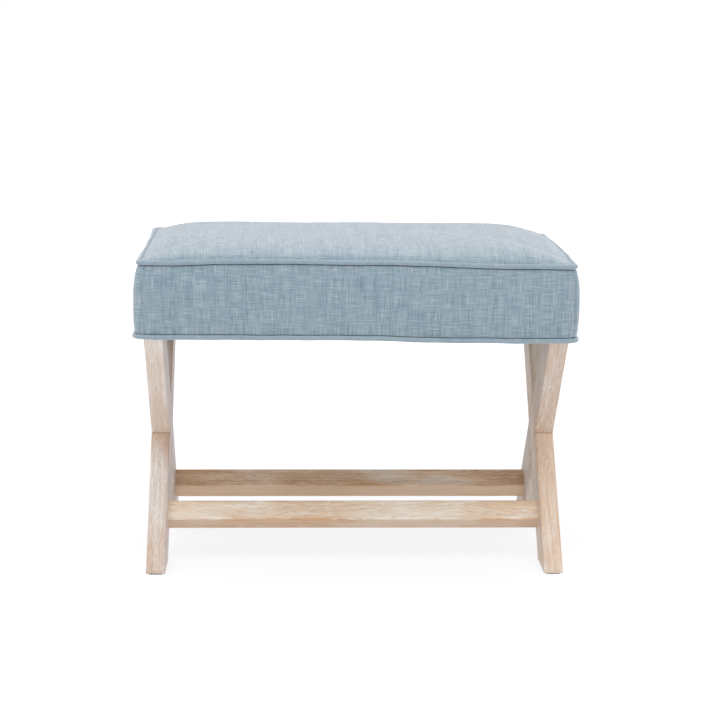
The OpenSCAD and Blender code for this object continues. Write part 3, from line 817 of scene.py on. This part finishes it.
class Nodes:
    """A node tree under construction: every call adds a node and returns its output."""

    def __init__(self, tree):
        self.nodes = tree.nodes
        self.links = tree.links

    def put(self, target, value):
        if isinstance(value, bpy.types.NodeSocket):
            self.links.new(value, target)
        else:
            target.default_value = value

    def node(self, kind, output=0, inputs=(), **settings):
        node = self.nodes.new("ShaderNode" + kind)
        for key, value in settings.items():
            setattr(node, key, value)
        for key, value in dict(inputs).items():
            self.put(node.inputs[key], value)
        return node.outputs[output]

    def maths(self, operation, *values):
        return self.node("Math", operation=operation, inputs=dict(enumerate(values)))

    def plus(self, first, second):
        return self.maths("ADD", first, second)

    def minus(self, first, second):
        return self.maths("SUBTRACT", first, second)

    def times(self, first, second):
        return self.maths("MULTIPLY", first, second)

    def size_of(self, value):
        return self.maths("ABSOLUTE", value)

    def wave(self, value, pitch):
        return self.maths("SINE", self.times(value, 2 * math.pi / pitch))

    def weighed(self, first, *others):
        """The sum of some values, each times its weight."""
        total = self.times(*first)
        for value, weight in others:
            total = self.plus(total, self.times(value, weight))
        return total

    def spread(self, value, low, high, to_low=0.0, to_high=1.0):
        """Takes a value from one range to another, clamped."""
        return self.node("MapRange", inputs={0: value, 1: low, 2: high, 3: to_low, 4: to_high})


class Shader(Nodes):
    """A material with the principled shader."""

    def __init__(self, name, roughness=0.6, **settings):
        self.material = bpy.data.materials.new(name)
        self.material.use_nodes = True
        super().__init__(self.material.node_tree)
        self.surface = self.nodes["Principled BSDF"]
        self.surface.inputs["Roughness"].default_value = roughness
        for key, value in settings.items():
            key = key.replace("_", " ").title().replace("Ior", "IOR")
            self.surface.inputs[key].default_value = value

    def place(self):
        """Where on the object a point lies, in metres."""
        return self.node("TexCoord", output=3)

    def axes(self, place):
        """The X, Y and Z of a vector."""
        node = self.nodes.new("ShaderNodeSeparateXYZ")
        self.put(node.inputs[0], place)
        return node.outputs[0], node.outputs[1], node.outputs[2]

    def noise(self, place, scale, detail=2.0, roughness=0.5, distortion=0.0):
        return self.node("TexNoise", inputs={"Vector": place, "Scale": scale, "Detail": detail,
                                             "Roughness": roughness, "Distortion": distortion})

    def drawn_noise(self, x, y, z, *settings):
        """Noise over coordinates that are scaled one by one, so that it is drawn out into streaks."""
        return self.noise(self.node("CombineXYZ", inputs={0: x, 1: y, 2: z}), 1.0, *settings)

    def blend(self, share, first, second, how="MIX"):
        return self.node("Mix", output=2, data_type="RGBA", blend_type=how,
                         inputs={0: share, 6: first, 7: second})

    def lay(self, colour, tint, share, most, how="MIX"):
        """Lays a tint over a colour, by a share of the most."""
        return self.blend(self.times(share, most), colour, tint, how)

    def stain(self, colour, tint, value, low, high, most=1.0, how="MIX"):
        """Lays a tint over a colour, from none where a value is low to the most where it is high."""
        return self.lay(colour, tint, self.spread(value, low, high), most, how)

    def bump(self, height, distance, strength):
        return self.node("Bump", inputs={"Distance": distance, "Strength": strength, "Height": height})

    def finish(self, colour, normal, roughness=None):
        for key, value in (("Base Color", colour), ("Normal", normal), ("Roughness", roughness)):
            if value is not None:
                self.put(self.surface.inputs[key], value)
        return self.material


def tone(red, green, blue):
    """A colour written in display values from 0 to 255."""
    linear = [(v / 255 / 12.92) if v / 255 <= 0.04045 else ((v / 255 + 0.055) / 1.055) ** 2.4
              for v in (red, green, blue)]
    return (*linear, 1.0)


THREAD_PITCH = 0.00105
THREAD_WANDER = 0.0003
# What counts as the darkest and the lightest thread, and as a slub, in the noise
LIGHT_RANGE = (1.16, 1.78)
SLUB_RANGE = (0.62, 0.72)
SHEEN_TINT = (0.93, 0.95, 1.0, 1.0)
GREENER = tone(240, 250, 243)
# Painted shade for the seams, and how far and with how many samples the occlusion looks for nearby
# cloth
PAINTED_SEAM_SHADE = tone(44, 78, 102)
SEAM_REACH = 0.004
SEAM_SAMPLES = 8


def linen_material(name, light, dark, slub, slub_share):
    """Slubby plain weave: threads that cross, thick and thin, in two close shades. Where other
    cloth is close, as in the seams, painted shade darkens it and it has no sheen."""
    s = Shader(name, roughness=0.85, sheen_weight=0.85, sheen_roughness=0.55, specular_ior_level=0.2)
    s.surface.inputs["Sheen Tint"].default_value = SHEEN_TINT
    cloth = s.node("Attribute", output=1, attribute_name="weave", attribute_type="GEOMETRY")
    x, y, _ = s.axes(cloth)
    wander = s.times(s.minus(s.noise(cloth, 55.0), 0.5), THREAD_WANDER)
    warp_x, warp_y = s.plus(x, wander), s.plus(y, wander)

    def threads(across, along, fineness, shortness, seed, detail=2.0):
        """How light each thread is, from streaks much longer than they are wide."""
        return s.drawn_noise(s.times(across, fineness), s.times(along, shortness), seed, detail)

    down = threads(warp_x, warp_y, 700.0, 44.0, 3.0, 1.5)
    over = threads(warp_y, warp_x, 700.0, 44.0, 17.0, 1.5)
    down_wide = threads(warp_x, warp_y, 330.0, 16.0, 3.0)
    over_wide = threads(warp_y, warp_x, 330.0, 16.0, 17.0)
    bands = threads(warp_x, warp_y, 90.0, 5.0, 9.0)
    cloud = s.noise(cloth, 14.0, 3.0)
    weave = s.times(s.wave(warp_x, 2 * THREAD_PITCH), s.wave(warp_y, 2 * THREAD_PITCH))
    lightness = s.weighed((down, 0.75), (over, 0.75), (down_wide, 0.5), (over_wide, 0.35),
                          (bands, 0.35), (cloud, 0.2), (s.spread(weave, -1.0, 1.0), 0.12))
    opening = s.node("AmbientOcclusion", output=1, samples=SEAM_SAMPLES,
                     inputs={"Distance": SEAM_REACH})
    seam_shade_share = s.spread(opening, 0.50, 0.15)
    sheen = s.times(s.spread(lightness, *LIGHT_RANGE, 0.70, 0.98), s.minus(1.0, seam_shade_share))
    s.put(s.surface.inputs["Sheen Weight"], sheen)
    slubs = s.spread(s.plus(s.spread(down, *SLUB_RANGE), s.spread(over, *SLUB_RANGE)), 0.0, 1.0)
    colour = s.stain(dark, light, lightness, *LIGHT_RANGE)
    colour = s.stain(colour, GREENER, cloud, 0.45, 0.62, 0.35, "MULTIPLY")
    colour = s.lay(colour, slub, slubs, slub_share)
    # Painted shade: where other cloth is close, as in the seams, the colour is darkened
    colour = s.lay(colour, PAINTED_SEAM_SHADE, seam_shade_share, 0.7)
    height = s.plus(s.times(weave, 0.35), s.plus(down, over))
    normal = s.bump(height, distance=0.00045, strength=0.55)
    return s.finish(colour, normal, s.spread(slubs, 0.0, 1.0, 0.88, 0.76))


def along_bar(s, angle, middle=(0.0, 0.0)):
    """Coordinates of a bar in the YZ plane: along it, across it in that plane, and through it."""
    x, y, z = s.axes(s.place())
    dy, dz = s.minus(y, middle[0]), s.minus(z, middle[1])
    cosine, sine = math.cos(angle), math.sin(angle)
    along = s.plus(s.times(dy, cosine), s.times(dz, sine))
    across = s.minus(s.times(dz, cosine), s.times(dy, sine))
    return along, across, x


# The shades of the oak, as pale, warm, tan and dark
LEG_TONES = ((234, 226, 219), (221, 204, 189), (212, 180, 152), (168, 142, 122))
STRETCHER_TONES = ((244, 228, 208), (224, 190, 156), (206, 160, 115), (150, 113, 82))
REAR_TONES = ((250, 223, 196), (222, 186, 150), (200, 155, 112), (144, 106, 78))
LIME = tone(240, 236, 231)
# The pale that painted light lays on the legs' broad faces
PAINTED_LIGHT_PALE = tone(230, 222, 219)

# How much the growth lines bend, and how far behind a bar the heart of the tree lay
GRAIN_BEND = 0.03
HEART = 0.05
# How far in from a bar's edge the lime is rubbed off, and where the bare edge begins
RUBBED, BARE = 0.0050, 0.0004


def oak_material(name, coordinates, tones, seed, lime, streak, half_width, through, crossing=None,
                 above=0.0, below=0.0, below_tan=0.0, broad=(0.0, 0.0), zone_share=0.25,
                 shift=(0, 0, 0), fineness=(1.0, 0.8)):
    """Limed oak: open grain rubbed with white over a pinkish beige or golden wood.

    lime and streak weigh the white and the dark of the grain. half_width and through are half
    the bar's sizes. crossing gives the coordinates of the bar that this one is half-lapped to.
    above, below and below_tan tint the faces that look up and down, and broad the two broad
    faces, all as painted light and shade.
    """
    fine_along, fine_across = fineness
    pale, warm, tan, dark = [tone(*(v + d for v, d in zip(shade, shift))) for shade in tones]
    s = Shader(name, roughness=0.55, specular_ior_level=0.35)
    along, across, deep = coordinates(s)
    wobble = s.drawn_noise(s.times(along, 4.0), s.times(across, 10.0),
                           s.plus(s.times(deep, 10.0), seed))
    ring_x = s.plus(across, s.times(s.minus(wobble, 0.5), GRAIN_BEND))
    ring_z = s.plus(deep, HEART)
    ring = s.maths("SQRT", s.plus(s.times(ring_x, ring_x), s.times(ring_z, ring_z)))
    ring = s.plus(ring, s.times(along, 0.012))

    def grain(shortness, crosswise, number, *settings):
        """Noise drawn out along the bar. The number sets it apart from the bar's other noises."""
        return s.drawn_noise(s.times(along, shortness), s.times(ring_x, crosswise),
                             s.plus(s.times(deep, crosswise), seed + number), *settings)

    growth = s.drawn_noise(s.times(ring, 300.0), s.times(along, 1.2), seed + 5.0)
    fibre = grain(62.0 * fine_along, 640.0 * fine_across, 0.0)
    pores = grain(110.0 * fine_along, 860.0 * fine_across, 2.0, 1.0)
    lines = grain(20.0 * fine_along, 600.0 * fine_across, 21.0, 1.0)
    patches = grain(7.0, 44.0, 8.0, 2.0, 0.55)
    blotches = grain(14.0, 90.0, 14.0, 2.0, 0.55)
    zones = grain(6.0, 9.0, 31.0)

    colour = s.stain(pale, warm, growth, 0.38, 0.62)
    colour = s.stain(colour, tan, zones, 0.47, 0.60, zone_share)
    colour = s.stain(colour, tan, patches, 0.44, 0.64, 0.65)
    colour = s.stain(colour, dark, fibre, 0.50, 0.68, 0.40 * streak)
    colour = s.stain(colour, LIME, zones, 0.50, 0.38, zone_share)
    limed = s.times(s.spread(fibre, 0.50, 0.36), s.spread(blotches, 0.60, 0.38, 0.15, 1.0))
    colour = s.lay(colour, LIME, limed, lime)
    fine_lime = s.times(s.spread(pores, 0.55, 0.63), s.spread(blotches, 0.62, 0.42, 0.1, 1.0))
    colour = s.lay(colour, LIME, fine_lime, lime)
    colour = s.stain(colour, dark, pores, 0.40, 0.28, 0.45 * streak)
    white_lines = s.times(s.spread(lines, 0.56, 0.62), s.spread(zones, 0.56, 0.42, 0.35, 1.2))
    colour = s.lay(colour, LIME, white_lines, lime)
    colour = s.stain(colour, dark, lines, 0.41, 0.34, 0.35 * streak)

    facing_x, _, facing_z = s.axes(s.node("NewGeometry", output=1))
    # Painted light: each broad face is paled by as much light as falls on it from its side
    for way, share in zip((-1, 1), broad):
        colour = s.stain(colour, PAINTED_LIGHT_PALE, facing_x, 0.75 * way, 0.95 * way, share)
    # Painted light: faces that look up, and faces that look down, are paled towards the palest shade
    painted_light_up_and_down = s.plus(s.spread(facing_z, 0.2, 0.5, 0.0, above),
                       s.spread(facing_z, -0.2, -0.5, 0.0, below))
    colour = s.blend(painted_light_up_and_down, colour, pale)
    # Painted shade: faces that look down are darkened towards tan
    colour = s.stain(colour, tan, facing_z, -0.2, -0.5, below_tan)
    edge_a = s.spread(s.size_of(across), half_width - RUBBED, half_width - BARE)
    edge_b = s.spread(s.size_of(deep), through - RUBBED, through - BARE)
    rubbed_off = s.times(s.times(edge_a, edge_b), s.spread(blotches, 0.42, 0.58))
    colour = s.lay(colour, tan, rubbed_off, 0.6)
    if crossing:
        off = s.size_of(s.minus(s.size_of(crossing(s)[1]), half_width))
        colour = s.stain(colour, tan, off, 0.013, 0.0, 0.4)
        joint = s.times(s.spread(off, 0.0016, 0.0005), s.spread(patches, 0.35, 0.6, 0.5, 1.0))
        colour = s.lay(colour, dark, joint, 0.6)
    normal = s.bump(s.plus(s.times(fibre, 0.6), pores), distance=0.00025, strength=0.5)
    return s.finish(colour, normal, s.spread(pores, 0.3, 0.7, 0.62, 0.48))


def leg_axes(side, lean):
    """Coordinates of a leg: side is -1 on the left, lean is 1 where it rises towards the rear."""
    def coordinates(s):
        along, across, x = along_bar(s, LEG_ANGLE * lean, (0.0, CROSS_Z * MM))
        return along, across, s.minus(x, side * LEG_X * MM)
    return coordinates


def stretcher_axes(end):
    """Coordinates of a stretcher: end is -1 at the front. It is turned to the slope of its legs."""
    def coordinates(s):
        out, up, x = along_bar(s, LEG_ANGLE * -end, (end * STRETCHER_Y * MM, STRETCHER_Z * MM))
        return x, out, up
    return coordinates


def plain_wood(name, pale, dark, across=60.0):
    """Bare sawn wood for the parts under the cover, with its grain along X."""
    s = Shader(name, roughness=0.7)
    x, y, z = s.axes(s.place())
    grain = s.drawn_noise(s.times(x, 4.0), s.times(y, across), s.times(z, across * 4), 3.0, 0.6, 0.6)
    fine = s.drawn_noise(s.times(x, 40.0), s.times(y, 900.0), s.times(z, 900.0), 1.0)
    colour = s.stain(pale, dark, grain, 0.38, 0.62)
    colour = s.stain(colour, dark, fine, 0.5, 0.8, 0.3)
    return s.finish(colour, s.bump(fine, distance=0.0003, strength=0.5))


def ply_material():
    """Plywood: broad face figure, and thin layers on the edges."""
    s = Shader("deck_plywood", roughness=0.7)
    x, y, z = s.axes(s.place())
    figure = s.drawn_noise(s.times(x, 6.0), s.times(y, 45.0), z, 3.0, 0.55, 1.0)
    colour = s.stain(tone(214, 178, 132), tone(188, 146, 98), figure, 0.35, 0.65)
    colour = s.stain(colour, tone(150, 106, 64), s.wave(z, 0.0034), 0.3, 0.8, 0.3)
    return s.finish(colour, s.bump(figure, distance=0.0002, strength=0.4))


def steel_material():
    """Zinc-plated wire and screws with faint scratches."""
    s = Shader("zinc_steel", roughness=0.35, metallic=1.0)
    place = s.place()
    x, y, z = s.axes(place)
    cloud = s.noise(place, 240.0, 3.0)
    scratch = s.drawn_noise(s.times(x, 900.0), s.times(y, 60.0), s.times(z, 900.0), 1.0)
    colour = s.stain(tone(206, 208, 210), tone(182, 184, 186), cloud, 0.35, 0.65)
    normal = s.bump(scratch, distance=0.00006, strength=0.4)
    return s.finish(colour, normal, s.spread(cloud, 0.3, 0.7, 0.28, 0.45))


def fluffy_material(name, pale, dark, scale, depth=0.0006):
    """Felt, wadding or foam: fine uneven pile, its hollows darkened with painted shade."""
    s = Shader(name, roughness=0.95, sheen_weight=0.3, specular_ior_level=0.15)
    place = s.place()
    fine = s.noise(place, scale, 3.0, 0.65)
    cloud = s.noise(place, scale / 12)
    cells = s.node("TexVoronoi", inputs={"Vector": place, "Scale": scale * 1.4})
    pile = s.weighed((fine, 0.7), (cells, 0.4))
    # Painted shade: where the pile is low, in its hollows, the colour is darker
    colour = s.stain(dark, pale, pile, 0.35, 0.75)
    colour = s.stain(colour, dark, cloud, 0.4, 0.7, 0.25)
    return s.finish(colour, s.bump(pile, distance=depth, strength=0.6))


def cord_material():
    """Twisted cotton: strands that wind round the cord."""
    s = Shader("cotton_cord", roughness=0.9, sheen_weight=0.2)
    place = s.place()
    x, y, z = s.axes(place)
    twist = s.wave(s.plus(s.plus(x, y), s.times(z, 1.6)), 0.0024)
    fuzz = s.noise(place, 1500.0)
    colour = s.stain(tone(196, 188, 170), tone(236, 230, 216), twist, -0.8, 0.6)
    return s.finish(colour, s.bump(s.plus(twist, fuzz), distance=0.0002, strength=0.6))


def cambric_material():
    """Black non-woven dust cloth: fine matted fibres and a faint embossed grid."""
    s = Shader("black_cambric", roughness=0.9, sheen_weight=0.15, specular_ior_level=0.2)
    place = s.place()
    x, y, _ = s.axes(place)
    grid = s.times(s.wave(x, 0.0022), s.wave(y, 0.0022))
    fibres = s.noise(place, 900.0, 3.0, 0.7)
    cloud = s.noise(place, 22.0, 3.0)
    matted = s.weighed((fibres, 0.7), (cloud, 0.4))
    colour = s.stain(tone(30, 30, 32), tone(56, 56, 59), matted, 0.35, 0.8)
    height = s.plus(s.times(grid, 0.6), fibres)
    return s.finish(colour, s.bump(height, distance=0.0003, strength=0.6))


def dress_node(name, material):
    """Gives a CAD node that stays visible its material."""
    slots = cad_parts[name].material_slots
    if not slots:
        raise RuntimeError(name + " has no material slot")
    for slot in slots:
        slot.material = material


# Studio: the camera stands where the photograph's did, with its angles in radians

CAMERA_MM = (-96.1, -2861.5, 818.4)
CAMERA_YAW, CAMERA_PITCH, CAMERA_ROLL = math.radians(-2.14), math.radians(10.71), math.radians(-0.51)
CAMERA_LENS, CAMERA_SENSOR = 97.88, 36.0
CAMERA_CLIP = (0.05, 200.0)

WHITE = (1.0, 1.0, 1.0, 1.0)
WORLD_LIGHT = (1.0, 0.99, 0.975, 1.0)
WORLD_LEVEL = 0.8

# The floor as other light meets it and as the camera sees it, with a glow that is full from
# some way out, in metres
FLOOR_SIZE = 14.0
FLOOR_LIT = (0.90, 0.89, 0.88, 1.0)
FLOOR_SHOWN = (0.25, 0.245, 0.25, 1.0)
FLOOR_GLOW = (1.0, 1.004, 1.022, 1.0)
GLOW_FROM, GLOW_TO = 0.7, 1.6
GLOW_NEAR, GLOW_FAR = 0.80, 1.0

# Each lamp's place, what it points at, its size in metres and its power in watts
LAMPS = {
    "overhead": ((-0.3, -0.3, 2.6), (0.0, 0.0, 0.3), (3.2, 2.8), 26.0),
    "front_fill": ((0.6, -3.8, 1.1), (0.0, 0.0, 0.2), (3.4, 1.8), 20.0),
}


def turning(x, y, z):
    """The rotation that takes the axes to three directions."""
    return Matrix(np.column_stack([x, y, z]).tolist())


def make_camera():
    data = bpy.data.cameras.new("camera")
    data.lens = CAMERA_LENS
    data.sensor_width = CAMERA_SENSOR
    data.clip_start, data.clip_end = CAMERA_CLIP
    camera = bpy.data.objects.new("camera", data)
    bpy.context.collection.objects.link(camera)
    cy, sy = math.cos(CAMERA_YAW), math.sin(CAMERA_YAW)
    cp, sp = math.cos(CAMERA_PITCH), math.sin(CAMERA_PITCH)
    cr, sr = math.cos(CAMERA_ROLL), math.sin(CAMERA_ROLL)
    right = np.array([cy, sy, 0.0])
    forward = np.array([-sy * cp, cy * cp, -sp])
    down = np.cross(forward, right)
    right, down = cr * right + sr * down, -sr * right + cr * down
    turned = turning(right, -down, -forward).to_4x4()
    turned.translation = [c * MM for c in CAMERA_MM]
    camera.matrix_world = turned
    bpy.context.scene.camera = camera


def lit_or_shown(tree, lit, shown):
    """Mixes two shaders: one for what the camera, gloss and glass see, one for all other light."""
    path = tree.nodes.new("ShaderNodeLightPath")
    seen = path.outputs["Is Camera Ray"]
    for name in ("Is Glossy Ray", "Is Transmission Ray"):
        seen = tree.maths("MAXIMUM", seen, path.outputs[name])
    return tree.node("MixShader", inputs={0: seen, 1: lit, 2: shown})


def make_world():
    world = bpy.data.worlds.new("studio")
    world.use_nodes = True
    tree = Nodes(world.node_tree)
    lit = tree.nodes["Background"]
    lit.inputs["Color"].default_value = WORLD_LIGHT
    lit.inputs["Strength"].default_value = WORLD_LEVEL
    both = lit_or_shown(tree, lit.outputs[0], tree.node("Background", inputs={"Color": WHITE}))
    tree.put(tree.nodes["World Output"].inputs["Surface"], both)
    bpy.context.scene.world = world


def make_floor():
    mesh = bpy.data.meshes.new("floor")
    half = FLOOR_SIZE / 2
    corners = [(-half, -half, 0), (half, -half, 0), (half, half, 0), (-half, half, 0)]
    mesh.from_pydata(corners, [], [(0, 1, 2, 3)])
    floor = bpy.data.objects.new("floor", mesh)
    bpy.context.collection.objects.link(floor)
    material = bpy.data.materials.new("pale_floor")
    material.use_nodes = True
    tree = Nodes(material.node_tree)
    tree.nodes.remove(tree.nodes["Principled BSDF"])
    lit = tree.node("BsdfDiffuse", inputs={"Color": FLOOR_LIT})
    shown = tree.node("BsdfDiffuse", inputs={"Color": FLOOR_SHOWN})
    place = tree.node("TexCoord", output="Object")
    distance = tree.node("VectorMath", output="Value", operation="LENGTH", inputs={0: place})
    level = tree.spread(distance, GLOW_FROM, GLOW_TO, GLOW_NEAR, GLOW_FAR)
    glow = tree.node("Emission", inputs={"Color": FLOOR_GLOW, "Strength": level})
    both = lit_or_shown(tree, lit, tree.node("AddShader", inputs={0: shown, 1: glow}))
    tree.put(tree.nodes["Material Output"].inputs["Surface"], both)
    mesh.materials.append(material)


def make_lamp(name, place, target, size, power):
    data = bpy.data.lights.new(name, "AREA")
    data.shape = "RECTANGLE"
    data.size, data.size_y = size
    data.energy = power
    lamp = bpy.data.objects.new(name, data)
    bpy.context.collection.objects.link(lamp)
    lamp.location = place
    z = np.array(place) - np.array(target)
    z = z / np.linalg.norm(z)
    x = np.cross([0.0, 1.0, 0.0], z)
    x = x / np.linalg.norm(x)
    lamp.rotation_euler = turning(x, np.cross(z, x), z).to_euler()


def make_studio():
    make_camera()
    make_world()
    make_floor()
    for name, look in LAMPS.items():
        make_lamp(name, *look)
    bpy.context.scene.view_settings.view_transform = "Standard"


# The whole ottoman

# Each leg's side, its lean, the seed of its grain and the shift of its shades
LEGS = {
    "left_front_leg": (-1, 1, 3.0, (-14, -18, -18)),
    "left_rear_leg": (-1, -1, 14.0, (0, 7, 15)),
    "right_front_leg": (1, 1, 25.0, (4, -1, -5)),
    "right_rear_leg": (1, -1, 36.0, (-11, -12, -10)),
}
LEG_OAK = {"tones": LEG_TONES, "lime": 0.30, "streak": 0.30, "half_width": LEG_W / 2 * MM,
           "through": LEG_T / 2 * MM, "fineness": (1.7, 0.72)}
# How much painted light pales the broad faces, facing left and facing right, on the legs of each side
LEFT_BROAD, RIGHT_BROAD = (0.25, 0.85), (0.1, 0.25)
STRETCHER_OAK = {"half_width": STRETCHER_T / 2 * MM, "through": STRETCHER_T / 2 * MM,
                 "zone_share": 0.55}
# Painted light and shade: above and below pale the stretchers' faces that look up and down, below_tan
# darkens the lower faces
FRONT_OAK = {"tones": STRETCHER_TONES, "seed": 47.0, "lime": 0.7, "streak": 0.8,
             "above": 0.42, "below": 0.3, "below_tan": 0.35}
REAR_OAK = {"tones": REAR_TONES, "seed": 58.0, "lime": 0.3, "streak": 0.5, "below": 0.6}


def dress_woods():
    for name, (side, lean, seed, shift) in LEGS.items():
        dress_node(name, oak_material(
            "oak_" + name, leg_axes(side, lean), seed=seed, shift=shift, crossing=leg_axes(side, -lean),
            broad=LEFT_BROAD if side < 0 else RIGHT_BROAD, **LEG_OAK))
    for name, end, look in (("front_stretcher", -1, FRONT_OAK), ("rear_stretcher", 1, REAR_OAK)):
        dress_node(name, oak_material("oak_" + name, stretcher_axes(end), **look, **STRETCHER_OAK))
    pine = plain_wood("sawn_pine", tone(226, 190, 138), tone(196, 148, 92))
    for name in ("front_rail", "rear_rail", "left_rail", "right_rail", "centre_rail", "corner_blocks"):
        dress_node(name, pine)
    beech = plain_wood("beech_dowel", tone(216, 172, 130), tone(190, 140, 98), across=120.0)
    for name in ("stretcher_dowels", "rail_dowels"):
        dress_node(name, beech)
    dress_node("deck", ply_material())


def dress_metal():
    steel = steel_material()
    for name in ("block_screws", "leg_screws", "deck_screws", "cover_staples", "dust_cover_staples"):
        dress_node(name, steel)


def make_seat():
    linen = linen_material("blue_grey_linen", light=tone(159, 177, 189), dark=tone(109, 133, 150),
                           slub=tone(200, 210, 217), slub_share=0.25)
    # The welts' linen has fewer slubs, for the bias cut, and darker threads painted lighter than the
    # cover's, as painted light on the welts
    bias = linen_material("blue_grey_linen_on_the_bias_painted_lighter", light=tone(157, 175, 187),
                          dark=tone(129, 151, 167), slub=tone(190, 202, 210), slub_share=0.06)
    wadding = fluffy_material("white_wadding", tone(246, 246, 243), tone(220, 220, 216), scale=500.0)
    foam = fluffy_material("cream_foam", tone(238, 226, 184), tone(206, 190, 142), scale=900.0,
                           depth=0.0004)
    cotton = cord_material()
    casing = sewn_casing()
    make_top_cover(casing, linen)
    for name, columns in band_columns(casing).items():
        make_band(casing, name, columns, linen)
    for seed, (name, line) in enumerate(WELTS.items(), 1):
        make_welt(name, *line, bias, seed)
        make_cord(name + "_cord", *line, cotton)
    make_foam(casing, foam)
    make_top_wadding(casing, wadding)
    make_side_wadding(casing, wadding)


make_studio()
dress_woods()
dress_metal()
make_seat()
make_dust_cover(cambric_material())
make_foot_pads(fluffy_material("brown_felt", tone(62, 50, 44), tone(34, 27, 24), scale=1400.0))
